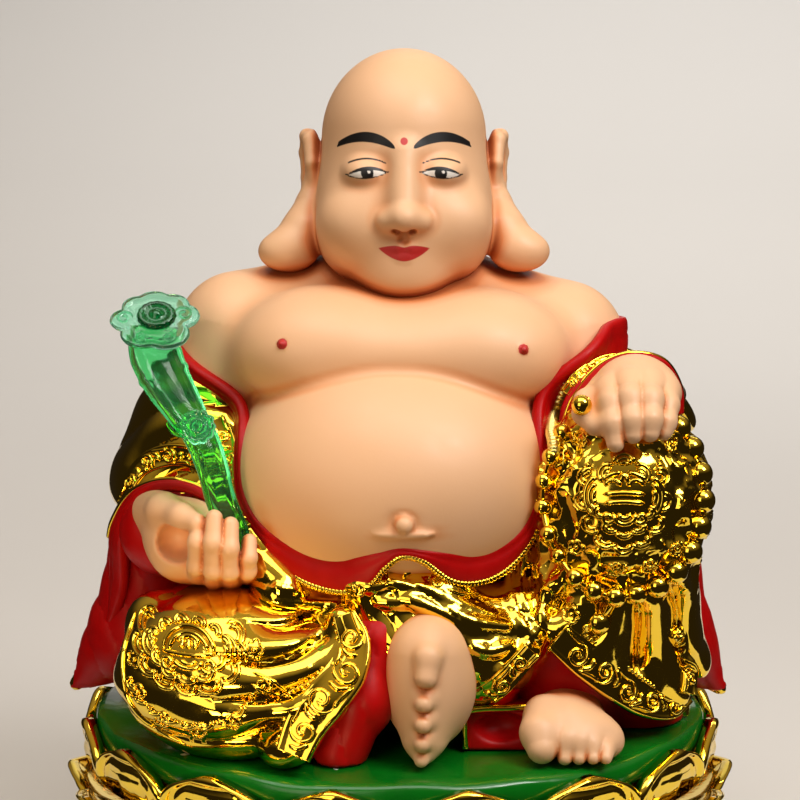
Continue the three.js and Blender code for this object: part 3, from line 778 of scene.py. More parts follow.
LAP_FOLDS = [
    ([(-5.6, 24.6), (-2.2, 25.6), (0.8, 25.5), (4.2, 24.4), (6.9, 22.9), (10.0, 21.8), (13.2, 20.6)], 0.65),
    ([(-3.2, 22.9), (1.6, 23.2), (6.6, 21.4), (10.2, 19.8), (15.0, 19.0)], 1.15),
    ([(10.4, 16.6), (12.6, 15.7), (15.6, 16.4)], 0.8),
    ([(20.6, 20.6), (19.2, 17.6), (16.8, 14.8), (13.9, 12.4), (11.0, 10.6)], 0.85),
    ([(22.0, 19.2), (20.0, 15.9), (18.0, 13.4), (15.4, 11.2), (12.4, 9.2)], 0.8),
    ([(18.6, 29.6), (17.8, 26.2), (17.4, 23.0), (18.6, 20.0)], 0.75),
    ([(17.0, 28.2), (15.8, 24.8), (16.0, 21.6), (17.8, 18.6)], 0.6),
    ([(20.0, 28.0), (19.4, 24.6), (19.8, 21.4), (21.4, 18.8)], 0.6),
    ([(-17.6, 24.6), (-13.6, 23.6), (-9.8, 23.8), (-6.6, 25.2)], 0.8),
    ([(-18.0, 22.4), (-13.4, 21.4), (-9.6, 21.8)], 0.6),
]


def lap_base():
    return blend(
        5,
        ball([1, -13, 13], [22, 18, 13]),
        ball([4, -22, 16.5], [16, 10, 7.5]),
        limb([-5.0, -27.4, 25.2], [6.4, -26.8, 24.6], 3.4, 2.6),
        limb([19.6, -21.6, 17.6], [14.0, -24.0, 12.2], 5.0, 3.8),
        limb([-21.6, -20.4, 30.0], [-17.2, -24.0, 23.4], 3.0, 4.0))


def lap_form():
    base = lap_base()
    pieces = [base]
    for points, radius in LAP_FOLDS:
        line = spline(np.array(points), 13)
        y = front_of(base, line[:, 0], line[:, 1])
        for _ in range(8):
            y[1:-1] = 0.25 * y[:-2] + 0.5 * y[1:-1] + 0.25 * y[2:]
        ends = np.minimum(np.linspace(0, 1, 13), np.linspace(1, 0, 13))
        radii = radius * np.sqrt(np.clip(4.0 * ends, 0.15, 1.0))
        pieces.append(chain(np.stack([line[:, 0], y - 0.1 * radius, line[:, 1]], 1), radii, 0.12))
    form = blend(1.0, *pieces)

    def sweep(p):
        return (p[:, 2] + 0.55 * p[:, 0] + 2.6 * np.sin(p[:, 0] / 6.0)) / 4.2 + 0.3 * cloud(p, 8)

    return folded(form, 0.14, sweep, lambda p: 1.0, 0.8)


# The whole body's outside, for laying trim on.

def body_form():
    return blend(0.3, torso_form(), back_form(), right_sleeve_form(), left_sleeve_form(), right_end_form(),
                 left_end_form(), right_leg_form(), left_leg_form(), lap_form())


def trunk_form():
    """What the collar lies on: the body without the raised knee."""
    return blend(0.8, torso_form(), back_form(), right_sleeve_form(), left_sleeve_form(), lap_form())


FAR_FRONT = -60.0
FAR_OUT = 70.0


def front_of(form, x, z):
    """The y at which level lines from the front first meet a form, or come nearest to it."""
    x = np.asarray(x, float)
    z = np.asarray(z, float)
    y = np.full(len(x), FAR_FRONT)
    best = y.copy()
    nearest = np.full(len(x), 1e3)
    for _ in range(90):
        d = form(np.stack([x, y, z], 1))
        closer = d < nearest
        best = np.where(closer, y, best)
        nearest = np.where(closer, d, nearest)
        step = np.where((nearest < 0.01) | (y > 12), 0.0, np.maximum(0.7 * d, 0.04))
        y = y + step
        if not step.any():
            break
    return best


def cast_in(form, centres, directions):
    """How far along each direction from its centre a form's outside is, coming from far out."""
    far = np.full(len(centres), FAR_OUT)
    for _ in range(120):
        d = form(centres + directions * far[:, None])
        step = np.where(d < 0.01, 0.0, np.maximum(0.75 * d, 0.04))
        far = np.maximum(far - step, 0.1)
        if not step.any():
            break
    return far


def outward_at(form, points):
    slope = gradient(form, points)
    return slope / np.maximum(np.sqrt((slope ** 2).sum(1)), 1e-9)[:, None]


# Sweeps and relief.

def spline(points, count):
    """A smooth line through the points, at even steps along it."""
    points = np.asarray(points, float)
    around = np.concatenate([[2 * points[0] - points[1]], points, [2 * points[-1] - points[-2]]])
    spans = len(points) - 1
    t = np.linspace(0.0, spans, 24 * spans + 1)
    index = np.minimum(t.astype(int), spans - 1)
    f = (t - index)[:, None]
    p0, p1, p2, p3 = (around[index + k] for k in range(4))
    fine = 0.5 * (2 * p1 + (p2 - p0) * f + (2 * p0 - 5 * p1 + 4 * p2 - p3) * f ** 2
                  + (3 * p1 - p0 - 3 * p2 + p3) * f ** 3)
    length = np.concatenate([[0.0], np.cumsum(np.sqrt((np.diff(fine, axis=0) ** 2).sum(1)))])
    at = np.linspace(0.0, length[-1], count)
    return np.stack([np.interp(at, length, fine[:, k]) for k in range(fine.shape[1])], 1)


def unit(rows):
    return rows / np.maximum(np.sqrt((rows ** 2).sum(1)), 1e-9)[:, None]


def frames(line, out):
    """Outward and sideways directions square to a line; out is one direction or one for each station."""
    along = unit(np.gradient(line, axis=0))
    out = unit(out - (along * out).sum(1)[:, None] * along)
    return out, np.cross(out, along)


class Bundle:
    """Collects swept tubes and other closed shells for one piece."""

    def __init__(self):
        self.points = []
        self.quads = []
        self.tris = []
        self.count = 0

    def shell(self, points, quads, tris=()):
        self.points.append(np.asarray(points, float))
        self.quads.append(np.asarray(quads, int).reshape(-1, 4) + self.count)
        self.tris.append(np.asarray(tris, int).reshape(-1, 3) + self.count)
        self.count += len(points)

    def skin(self, rings, ends, turned=False):
        """Rings of points joined one to the next, with a fan to an end point at each end."""
        n, m = rings.shape[:2]
        ring = np.arange(n - 1)[:, None] * m
        j = np.arange(m)
        after = (j + 1) % m
        last = (n - 1) * m
        quads = np.stack([ring + j, ring + after, ring + m + after, ring + m + j], -1).reshape(-1, 4)
        tris = np.concatenate([np.stack([np.full(m, n * m), after, j], 1),
                               np.stack([np.full(m, n * m + 1), last + j, last + after], 1)])
        if turned:
            quads = quads[:, ::-1]
            tris = tris[:, ::-1]
        self.shell(np.concatenate([rings.reshape(-1, 3), ends]), quads, tris)

    def sweep(self, line, out, profile):
        """profile is (stations, sides, 2): sideways and outward, counterclockwise."""
        out, side = frames(line, np.asarray(out, float))
        rings = line[:, None] + side[:, None] * profile[:, :, 0:1] + out[:, None] * profile[:, :, 1:2]
        self.skin(rings, [rings[0].mean(0), rings[-1].mean(0)])

    def tube(self, line, out, width, height, sides=8):
        """A rounded stroke; width and height are half sizes, one number or one for each station."""
        turn = turns_of(sides)
        width = np.broadcast_to(width, (len(line),))
        height = np.broadcast_to(height, (len(line),))
        self.sweep(line, out, np.stack([width[:, None] * np.cos(turn), height[:, None] * np.sin(turn)], 2))

    def piece(self, name, material, node="figure"):
        points = np.concatenate(self.points)
        quads = np.concatenate(self.quads)
        return made(name, points, quads, material, node, tris=np.concatenate(self.tris))


def tapered(count, sharp=0.12):
    t = np.linspace(0.0, 1.0, count)
    return np.sqrt(np.clip(np.minimum(t, 1.0 - t) / sharp, 0.02, 1.0))


class Ribbon:
    """A band along a line, with a way to place relief on its face."""

    def __init__(self, points, out, half_width, count, thickness, roll=0.0):
        self.line = spline(points, count)
        self.out = unit(spline(np.broadcast_to(out, (len(points), 3)), count))
        self.half = np.broadcast_to(half_width, (count,)).astype(float)
        self.thickness = thickness
        self.roll = roll

    def body(self, bundle, rim=0.0, crease=0.0):
        """The band's own cross section: rounded edges, rims raised along both edges, and a plain back."""
        s = np.array([1.0, 0.96, 0.84, 0.7, 0.45, 0.25, 0.1, -0.3, -0.7, -0.84, -0.96, -1.0, -0.9, 0.0, 0.9])
        h = np.array([0.0, 0.42, 0.5, 0.5, 0.5, 0.5, 0.5, 0.5, 0.5, 0.5, 0.42, 0.0, -0.5, -0.5, -0.5])
        rims = np.array([0, 0.6, 1, 0, 0, 0, 0, 0, 0, 1, 0.6, 0, 0, 0, 0]) * rim
        valley = np.array([0, 0, 0, 0, 0.2, 1, 0.2, 0, 0, 0, 0, 0, 0, 0, 0]) * crease
        bow = -self.roll * s ** 2
        height = h * self.thickness + rims + bow - valley
        across = self.half[:, None] * s
        profile = np.stack([across, np.broadcast_to(height, across.shape)], 2)
        bundle.sweep(self.line, self.out, profile)

    def on(self, t, s):
        """Points and outward directions on the face at shares t along and s across."""
        out, side = frames(self.line, self.out)
        at = np.asarray(t, float) * (len(self.line) - 1)

        def pick(rows):
            return np.stack([np.interp(at, np.arange(len(rows)), rows[:, k]) for k in range(3)], 1)

        half = np.interp(at, np.arange(len(self.half)), self.half)
        s = np.asarray(s, float)
        face = 0.5 * self.thickness - self.roll * s ** 2
        outs = unit(pick(out))
        return pick(self.line) + pick(side) * (s * half)[:, None] + outs * face[:, None], outs

    def length(self):
        return float(np.sqrt((np.diff(self.line, axis=0) ** 2).sum(1)).sum())


def spiral(centre, radius, turns, start, hand, count, inner):
    t = np.linspace(0.0, 1.0, count)
    r = radius * (1.0 - (1.0 - inner) * t ** 0.9)
    a = start + hand * 2 * np.pi * turns * t
    return np.stack([centre[0] + r * np.cos(a), centre[1] + r * np.sin(a)], 1)


def scrolls(bundle, ribbon, pitch, size, width, height, first=0.05, last=0.95):
    """A running scroll along a ribbon: spirals by turns up and down, leaves between, and dots."""
    length = ribbon.length()
    half = float(ribbon.half.mean())
    count = max(2, int(round(length * (last - first) / pitch)))
    step = (last - first) / count

    def lay(points, w=width, h=height):
        place, out = ribbon.on(points[:, 0] / length, points[:, 1] / half)
        bundle.tube(place, out, w * tapered(len(place)), h * tapered(len(place)), 7)

    for i in range(count):
        t = (first + step * (i + 0.5)) * length
        hand = 1 if i % 2 else -1
        lay(spiral((t, 0.12 * hand * half), size * half, 1.35, -0.5 * np.pi * hand, hand, 34, 0.26))

        def at(steps, across):
            return t + steps * step * length, across * hand * half

        lay(spline([at(-0.75, -0.72), at(-0.3, -0.55), at(0.0, 0.12 - size)], 12))
        lay(spline([at(0.3, 0.6), at(0.52, 0.2), at(0.5, -0.35)], 10), width * 1.2)
        middle = 0.12 * hand * half
        lay(spline([(t - 0.12, middle), (t + 0.12, middle)], 5), 0.34, 0.42)


def pearls(bundle, ribbon, across, pitch, radius, first=0.03, last=0.97):
    count = int(ribbon.length() * (last - first) / pitch)
    t = np.linspace(first, last, count)
    place, out = ribbon.on(t, np.full(count, across))
    for p, o in zip(place, out):
        knob(bundle, p, o, radius, radius)


def across_of(axis, helper, other):
    """Two directions square to an axis and to each other, by way of a helper that isn't near the axis."""
    a = np.cross(axis, helper if abs(axis @ helper) < 0.8 else other)
    a /= np.linalg.norm(a)
    return a, np.cross(axis, a)


RIGHTWARD = np.array([1.0, 0.0, 0.0])
BACKWARD = np.array([0.0, 1.0, 0.0])
UPWARD = np.array([0.0, 0.0, 1.0])
FRONTWARD = -BACKWARD


def turns_of(sides):
    return np.arange(sides) * 2 * np.pi / sides


def knob(bundle, place, out, radius, height):
    """A small dome standing on a surface."""
    a, b = across_of(out, UPWARD, RIGHTWARD)
    turn = turns_of(8)[:, None]
    circle = np.cos(turn) * a + np.sin(turn) * b
    rings = [place + out * height * level + radius * math.sqrt(1.0 - level ** 2) * circle
             for level in (-0.35, 0.1, 0.5, 0.82)]
    bundle.skin(np.stack(rings), [place - out * height * 0.5, place + out * height], turned=True)


def laid_on(form, line):
    """Points of a front view, as x and z, moved onto the front of a form."""
    return np.stack([line[:, 0], front_of(form, line[:, 0], line[:, 1]), line[:, 1]], 1)


def strokes_on(bundle, form, lines, width, height):
    """Relief strokes drawn in front view as x and z, laid on the front of a form."""
    for line in lines:
        place = laid_on(form, line)
        thin = tapered(len(line))
        bundle.tube(place, outward_at(form, place), width * thin, height * thin, 7)


def arc(centre, rx, rz, start, end, count):
    a = np.radians(np.linspace(start, end, count))
    return np.stack([centre[0] + rx * np.cos(a), centre[1] + rz * np.sin(a)], 1)


# Hands and feet.

def right_hand_form():
    palm = blend(
        2.0,
        ball([-31.0, -18.6, 29.2], [6.2, 5.4, 6.3]),
        limb([-36, -10, 32.5], [-33.2, -16, 30.5], 4.6, 4.6),
        ball([-25.6, -20.8, 25.9], [5.6, 4.2, 2.9]))
    digits = [
        chain([[-29.2, -22.6, 25.2], [-29.0, -26.7, 27.4], [-28.8, -27.9, 31.0], [-28.6, -26.5, 33.4]],
              [1.5, 1.42, 1.38, 1.2], 0.6),
        chain([[-26.8, -23.0, 24.3], [-26.6, -27.7, 27.0], [-26.5, -29.0, 31.2], [-26.4, -27.6, 34.5]],
              [1.5, 1.45, 1.4, 1.22], 0.6),
        chain([[-24.4, -23.0, 24.3], [-24.3, -27.7, 26.8], [-24.2, -28.9, 30.4], [-24.1, -27.6, 33.5]],
              [1.5, 1.4, 1.35, 1.2], 0.6),
        chain([[-22.0, -22.6, 25.0], [-21.8, -26.7, 26.6], [-21.6, -27.7, 28.8], [-21.5, -26.6, 30.9]],
              [1.35, 1.28, 1.22, 1.1], 0.6),
    ]
    thumb = chain([[-36.2, -14.5, 33.0], [-34.2, -20.0, 34.0], [-31.2, -24.4, 33.9], [-29.0, -26.9, 33.6]],
                  [3.2, 2.5, 1.9, 1.4], 1.2)
    form = carved(blend(1.2, palm, thumb), ball([-32.4, -24.0, 29.9], [2.9, 4.6, 2.8]), 0.9)
    return blend(0.5, form, blend(0.22, *digits))


def left_hand_form():
    back = blend(
        2.4,
        ball([34.0, -20.3, 51.4], [6.4, 6.6, 4.9]),
        limb([34.6, -12, 50.4], [34.0, -18, 51.2], 5.0, 5.0))
    digits = [
        chain([[29.8, -24.0, 52.4], [29.8, -28.0, 51.2], [29.9, -30.2, 48.6], [30.2, -31.0, 45.9]],
              [1.9, 1.8, 1.6, 1.3], 0.9),
        chain([[32.5, -24.6, 53.2], [32.4, -28.7, 51.9], [32.5, -30.7, 49.2], [32.6, -31.2, 47.2]],
              [1.95, 1.85, 1.65, 1.35], 0.9),
        chain([[35.3, -24.4, 53.0], [35.2, -28.5, 51.7], [35.1, -30.5, 49.2], [35.0, -31.0, 47.4]],
              [1.95, 1.85, 1.65, 1.35], 0.9),
        chain([[37.9, -23.0, 51.9], [37.8, -26.8, 50.7], [37.4, -29.0, 48.6], [37.1, -29.6, 47.3]],
              [1.8, 1.65, 1.45, 1.25], 0.9),
    ]
    thumb = chain([[29.0, -19.5, 51.4], [26.6, -23.6, 50.6], [26.0, -26.6, 49.4], [27.4, -28.8, 47.9]],
                  [2.1, 1.7, 1.5, 1.35], 1.0)
    form = blend(1.0, back, thumb)
    return blend(2.0, form, blend(0.3, *digits))


def right_foot_form():
    foot = blend(
        3.0,
        ball([4.2, -28.4, 11.4], [6.9, 8.4, 10.2]),
        limb([3.6, -32.5, 16.0], [3.4, -34.6, 4.0], 4.4, 3.0))
    toes = [chain([[4.3, -33.0, 18.4], [3.9, -37.0, 16.6], [3.6, -38.0, 14.0]], [2.1, 1.85, 1.6], 0.8)]
    small_toes = (
        (3.3, -38.1, 10.5, 1.5), (3.2, -38.2, 7.5, 1.42), (3.1, -37.8, 4.6, 1.35), (3.0, -37.0, 2.0, 1.2))
    for x, y, z, r in small_toes:
        toes.append(chain([[x + 0.8, y + 5.2, z + 0.4], [x + 0.3, y + 1.6, z + 0.2], [x, y, z - 0.3]],
                          [r * 0.95, r, r * 0.85], 0.8))
    return blend(1.0, foot, blend(0.16, *toes))


def left_foot_form():
    foot = blend(
        3.0,
        ball([24.2, -27.9, 3.6], [6.6, 7.0, 3.5]),
        limb([24.6, -22.6, 5.8], [22.8, -27.6, 4.9], 4.2, 3.2),
        limb([24.0, -29.8, 4.6], [29.8, -30.2, 2.4], 3.0, 2.2))
    toes = [chain([[20.6, -28.6, 5.9], [19.9, -32.4, 4.3], [20.1, -34.2, 2.6]], [2.9, 2.7, 2.2], 1.2)]
    for x, top, r in ((23.4, 4.0, 1.1), (25.4, 3.6, 1.05), (27.4, 3.1, 1.0), (29.2, 2.5, 0.95)):
        toes.append(chain([[x + 0.3, -31.6, top], [x, -33.6, top - 0.4], [x - 0.1, -34.8, 1.4]],
                          [1.1 * r, 1.1 * r, 0.95 * r], 0.9))
    return blend(1.3, foot, blend(0.2, *toes))


# Steps between the points of a surface, in shares. They keep a piece under 200,000 triangles and the whole
# scene under a million.
HEAD = 0.25
FINE = 0.3
HAND = 0.34
NEAR = 0.55
MEDIUM = 0.62
BACK = 1.0
body = body_form()
# The whole figure, from which the skin's painted shade in creases is worked out.
everything = blend(
    0.05, torso_form(), right_sleeve_form(), left_sleeve_form(), right_leg_base(), leg_core(), lap_base(),
    fenced(head_form(), [[-20, -18, 64], [22, 18, 100]], 1.0),
    fenced(right_hand_form(), [[-38, -30, 20], [-20, -12, 36]], 1.0),
    fenced(left_hand_form(), [[25, -32, 44], [40, -14, 56]], 1.0),
    fenced(right_foot_form(), [[-3, -40, 0], [11, -20, 22]], 1.0),
    fenced(left_foot_form(), [[17, -40, 0], [32, -20, 12]], 1.0))

draped("head", head_form(), [-24, -20, 60], [26, 20, 102.4], HEAD, skin, face_paint)
draped("torso", torso_form(), [-38, -37, 14], [38, 22, 72], NEAR, skin, torso_paint)
draped("right_hand", right_hand_form(), [-42, -33, 18], [-17, -5, 41], HAND, skin, plain_paint)
draped("left_hand", left_hand_form(), [22, -35, 42], [43, -4, 60], HAND, skin, plain_paint)
draped("right_foot", above_seat(right_foot_form()), [-5, -43, -1], [13, -17, 24], HAND, skin, plain_paint)
draped("left_foot", above_seat(left_foot_form()), [15, -43, -1], [36, -17, 16], HAND, skin, plain_paint)
draped("robe_back", above_seat(back_form()), [-40, -16, -1], [40, 33, 64], BACK, gold)
draped("robe_right_sleeve", right_sleeve_form(), [-50, -22, 18], [-10, 20, 64], MEDIUM, gold)
draped("robe_left_sleeve", left_sleeve_form(), [12, -22, 18], [50, 20, 64], MEDIUM, gold)
draped("robe_right_end", above_seat(right_end_form()), [-55, -10, -1], [-24, 20, 40], MEDIUM, gold)
draped("robe_left_end", above_seat(left_end_form()), [26, -8, -1], [54, 20, 44], MEDIUM, gold)
draped("robe_right_leg", above_seat(right_leg_form()), [-45, -42, -1], [4, 16, 30], MEDIUM, gold)
draped("robe_left_leg", above_seat(left_leg_form()), [0, -40, -1], [50, 20, 56], NEAR, gold)
draped("robe_lap", above_seat(lap_form()), [-26, -36, -1], [27, 8, 30], NEAR, gold)


# Red linings: the fronts of the hanging sleeve ends, the sleeve's mouth, and inside the hems at the feet.

def facing_part(form, grow, at, towards):
    """The part of a form, grown a little, that lies beyond a plane."""
    at = np.array(at, float)
    towards = np.array(towards, float)
    towards /= np.linalg.norm(towards)
    return lambda p: np.maximum(form(p) - grow, -((p - at) @ towards))


def pleated(form, turns):
    return folded(form, 0.14, turns, lambda p: 1.0)


def lining_form(end):
    pleats = pleated(end, lambda p: p[:, 0] / 5.2 + 0.09 * p[:, 2] + 0.35 * cloud(p, 11))
    front = facing_part(pleats, 0.35, [0, 3, 10], [0, -1, 0.06])
    return lambda p: np.maximum(front(p), 0.9 - p[:, 2])


draped("right_end_lining", lining_form(right_end_form()), [-55, -12, -1], [-24, 16, 40], MEDIUM, red)
draped("left_end_lining", lining_form(left_end_form()), [26, -10, -1], [54, 16, 44], MEDIUM, red)
sleeve_end = blend(1.5, right_sleeve_form(), right_end_form())
mouth_lining = facing_part(sleeve_end, 0.3, [-33, -13.4, 30], [-0.35, -0.9, -0.25])
draped("right_mouth_lining", mouth_lining, [-48, -24, 8], [-12, 2, 40], MEDIUM, red)
foot_lining = blend(
    2.0,
    chain([[4.0, -27.0, 20.6], [0.0, -28.0, 19.8], [-4.0, -29.0, 18.0]], [1.5, 2.1, 2.7], 1.0),
    limb([-4.0, -29.5, 16.5], [-5.2, -31.0, 9], 3.1, 4.2),
    limb([-5.2, -31.0, 9], [-8.6, -31.6, 1.6], 4.2, 3.9))
foot_lining = pleated(foot_lining, lambda p: (p[:, 0] + 0.35 * p[:, 2]) / 5.0 + 0.2 * cloud(p, 9))
draped("right_foot_lining", above_seat(foot_lining), [-16, -40, -1], [8, -18, 26], MEDIUM, red)


def inner_leg(p):
    line = np.array(LEFT_HEM)
    edge = np.interp(p[:, 0], line[:, 0], line[:, 2] + 0.3, left=17.0)
    return np.maximum(np.maximum(leg_core(-1.0)(p), p[:, 2] - edge), p[:, 1] + 4.0)


draped("left_foot_lining", above_seat(inner_leg), [10, -32, -1], [47, 0, 20], MEDIUM, red)
tray = carved(block([14.4, -22.8, 3.1], [4.9, 4.4, 3.0], 0.6), ball([14.6, -28.4, 3.6], [3.9, 4.0, 2.4]), 0.8)
draped("recess_lining", above_seat(tray), [7, -30, -1], [22, -16, 8], FINE, red)


# Collar: a red rolled band round the shoulders and under the belly, edged with a gold cord.

# The collar's line, as turns from the front in degrees with heights, and its half width at the same places.
COLLAR = [
    (-180.5, 57.5), (-135, 58), (-108, 57.4), (-87, 55.4), (-73, 52.6), (-61, 48.6), (-52, 43.4), (-46, 36.6),
    (-38, 31.4), (-26, 27.9), (-13, 27.0), (-5, 29.2), (0, 30.5), (6, 29.9), (16, 27.7), (26, 28.0),
    (35, 31.1), (41, 38), (46, 44.0), (54.5, 50.0), (67, 55.0), (80, 56.5), (95, 56.8), (108, 57.6),
    (135, 58), (180.5, 57.5)]
COLLAR_HALF = [
    2.2, 2.2, 2.1, 1.9, 1.6, 1.3, 1.1, 1.0, 1.6, 2.7, 2.6, 1.2, 0.7, 0.9, 2.3, 2.3, 1.5, 1.1, 1.2, 1.9, 2.8,
    4.0, 3.9, 3.1, 2.2, 2.2]
trunk = trunk_form()
flat = spline(np.column_stack([np.array(COLLAR), COLLAR_HALF]), 340)
turn = np.radians(flat[:, 0])
ray = np.stack([np.sin(turn), -np.cos(turn), np.zeros(len(turn))], 1)
origin = np.stack([np.zeros(len(turn)), np.full(len(turn), 2.0), flat[:, 1]], 1)
far = cast_in(trunk, origin, ray)
for _ in range(40):
    far[1:-1] = 0.25 * far[:-2] + 0.5 * far[1:-1] + 0.25 * far[2:]
collar = Ribbon(origin + ray * (far + 0.2)[:, None], ray, flat[:, 2], len(flat), thickness=1.5, roll=0.35)
band = Bundle()
collar.body(band, crease=0.18)
band.piece("collar_lining", red)


def cord(bundle, ribbon, across, radius, pitch, lift=0.1):
    """A twisted cord along one edge of a ribbon."""
    count = int(ribbon.length() / (pitch / 5.0))
    t = np.linspace(0.002, 0.998, count)
    line, out = ribbon.on(t, np.full(count, across))
    line = line + out * lift
    sides = 8
    turn = turns_of(sides)
    phase = np.linspace(0, 2 * np.pi * ribbon.length() / pitch, count)
    size = radius * (1.0 + 0.16 * np.cos(phase[:, None] + 0.6 * np.cos(turn[None])))
    profile = np.stack([size * np.cos(turn), size * np.sin(turn)], 2)
    bundle.sweep(line, out, profile)


def widths(values, count):
    return np.interp(np.linspace(0, len(values) - 1, count), np.arange(len(values)), values)


# Cuffs: the red mouths of the wide sleeves.

RIGHT_CUFF = [
    [-44.4, -2.6, 12.5], [-43.0, -5.6, 21], [-42.2, -10.5, 29], [-38.8, -14.0, 35.2], [-33.4, -16.2, 37.2],
    [-28.2, -17.8, 35.8], [-24.6, -19.2, 32.0], [-22.8, -19.6, 27.6]]
RIGHT_CUFF_HALF = [0.4, 2.3, 2.3, 1.4, 0.85, 0.7, 0.7, 0.6]
LEFT_CUFF = [
    [24.2, -17.6, 45.4], [25.4, -17.4, 49.0], [27.4, -16.6, 52.0], [30.4, -15.6, 54.8], [34.4, -14.8, 55.9],
    [38.6, -13.6, 54.6], [41.0, -12.2, 50.6], [41.4, -11.4, 47.0]]
LEFT_CUFF_HALF = [0.8, 0.95, 1.0, 0.7, 0.55, 0.6, 0.7, 0.7]


CUFF_STATIONS = 90


def cuff(points, halves, middle, thickness):
    out = np.array(points) - middle
    return Ribbon(points, out, widths(halves, CUFF_STATIONS), CUFF_STATIONS, thickness, 0.5)


right_cuff = cuff(RIGHT_CUFF, RIGHT_CUFF_HALF, [-33, -4, 29], 1.5)
left_cuff = cuff(LEFT_CUFF, LEFT_CUFF_HALF, [34, -7, 47], 1.3)
LEFT_MOUTH = [
    [24.6, -16.6, 45.4], [24.9, -16.9, 48.4], [26.4, -16.4, 51.2], [28.8, -15.4, 53.2], [31.6, -14.6, 54.2],
    [35.2, -14.2, 54.6]]
left_mouth = Ribbon(LEFT_MOUTH, [-0.1, -1.0, 0.35], 1.5, 70, 1.2, 0.4)
band = Bundle()
for one in (right_cuff, left_cuff, left_mouth):
    one.body(band, crease=0.2)
band.piece("cuff_lining", red)
edge = Bundle()
for one, start in ((right_cuff, 0.32), (left_cuff, 0.02)):
    line, out = one.on(np.linspace(start, 0.98, CUFF_STATIONS), np.full(CUFF_STATIONS, 1.0))
    edge.tube(line, out, 0.36, 0.36, 8)
edge.piece("cuff_edges", gold)


# Hems and trims with running scrolls, laid on the robe.

def hem(points, half_width, count, thickness, form=body, flat=0.75, roll=0.0, facing=None):
    """A band laid on the front of a form; flat is the share of the way from facing outward to the front."""
    points = np.array(points, float)
    y = front_of(form, points[:, 0], points[:, 1]) - points[:, 2]
    line = np.stack([points[:, 0], y, points[:, 1]], 1)
    out = (1 - flat) * outward_at(form, line + [0, 0.6, 0]) + flat * np.array([0.0, -1.0, 0.2])
    return Ribbon(line, out if facing is None else facing, half_width, count, thickness, roll)


right_leg = right_leg_form()
left_leg = left_leg_form()
lap = lap_form()
left_line = np.array(LEFT_HEM)[1:-1] + [0.2, -0.3, 0.2]
left_out = np.stack([np.linspace(0.0, 0.75, len(left_line)), np.full(len(left_line), -1.0),
                     np.full(len(left_line), 0.3)], 1)
RIGHT_FOOT_OUT = [
    [-0.12, -0.76, 0.64], [-0.12, -0.76, 0.64], [-0.12, -0.76, 0.64], [-0.14, -0.76, 0.62],
    [-0.2, -0.85, 0.4], [-0.3, -0.9, -0.2]]
# Lines of the hems in front view: x, z, and how far each stands off the cloth.
RIGHT_FOOT_HEM = [
    [-7.9, 21.6, 0.2], [-6.5, 17.8, 0.2], [-7.6, 14.2, 0.2], [-10.4, 10.8, 0.2], [-13.2, 7.2, 0.2],
    [-15.0, 3.2, 0.1]]
LEFT_SIDE_HEM = [[42.2, 6.4, 0.3], [42.4, 9.6, 0.3], [41.4, 12.8, 0.3], [40.2, 16.2, 0.2]]
RIGHT_SLEEVE_HEM = [
    [-41.2, 33.0, 0], [-38.4, 38.4, 0], [-33.4, 41.0, 0], [-28.4, 40.2, 0], [-24.4, 36.8, 0],
    [-22.0, 32.0, 0]]
COLLAR_LEFT_HEM = [
    [-27.2, 46.4, 0], [-25.4, 42.6, 0], [-24.2, 37.6, 0], [-22.8, 33.4, -0.2], [-20.8, 30.2, -0.6]]
COLLAR_RIGHT_HEM = [
    [24.0, -16.0, 50.6], [25.6, -15.4, 52.6], [27.8, -14.2, 54.0], [30.6, -12.9, 55.0], [35.0, -11.4, 55.0]]
BETWEEN_HEM = [[18.8, 15.6, 0.3], [16.8, 13.4, 0.4], [14.6, 11.2, 0.5], [12.6, 9.4, 0.4]]
right_foot_half = widths([1.7, 2.5, 3.1, 3.2, 3.1, 2.6], 120)
left_foot_half = widths([2.3, 2.7, 2.7, 2.5, 2.0, 1.7], 120)
collar_left_half = widths([1.5, 1.5, 1.5, 1.2, 0.5], 90)

right_foot_hem = hem(RIGHT_FOOT_HEM, right_foot_half, 120, 1.3, right_leg, roll=0.5, facing=RIGHT_FOOT_OUT)

# Each hem and the length of one turn of its scroll.
hems = {
    "right_foot": (right_foot_hem, 4.8),
    "left_foot": (Ribbon(left_line, left_out, left_foot_half, 120, 1.3, 0.3), 5.4),
    "left_side": (hem(LEFT_SIDE_HEM, 1.5, 60, 1.0, left_leg, 0.2), 3.6),
    "right_sleeve": (hem(RIGHT_SLEEVE_HEM, 1.7, 100, 0.9, flat=0.2), 3.8),
    "collar_left": (hem(COLLAR_LEFT_HEM, collar_left_half, 90, 0.8, flat=0.2), 3.4),
    "collar_right": (Ribbon(COLLAR_RIGHT_HEM, [0.0, -1.0, 0.5], 0.8, 80, 0.9), 2.4),
    "between": (hem(BETWEEN_HEM, 1.8, 60, 1.0, lap, 0.3, 0.5), 4.6),
}
for name, (one, pitch) in hems.items():
    band = Bundle()
    one.body(band, rim=0.35)
    scrolls(band, one, pitch, 0.7, 0.34, 0.55 if name == "right_foot" else 0.46)
    if name == "left_foot":
        pearls(band, one, 1.06, 0.78, 0.4, 0.01, 0.99)
    if name == "right_foot":
        pearls(band, one, -1.0, 1.0, 0.3)
    band.piece("hem_" + name, gold)
frame_round = Bundle()
TRAY_EDGE = [
    [9.5, -27.2, 0.5], [9.4, -27.2, 3.2], [9.6, -27.2, 5.8], [12.0, -27.2, 6.4], [15.6, -27.2, 6.5],
    [19.6, -27.2, 6.8]]
frame_round.tube(spline(TRAY_EDGE, 50), [0.0, -1.0, 0.1], 0.5, 0.55, 10)
frame_round.piece("recess_frame", gold)

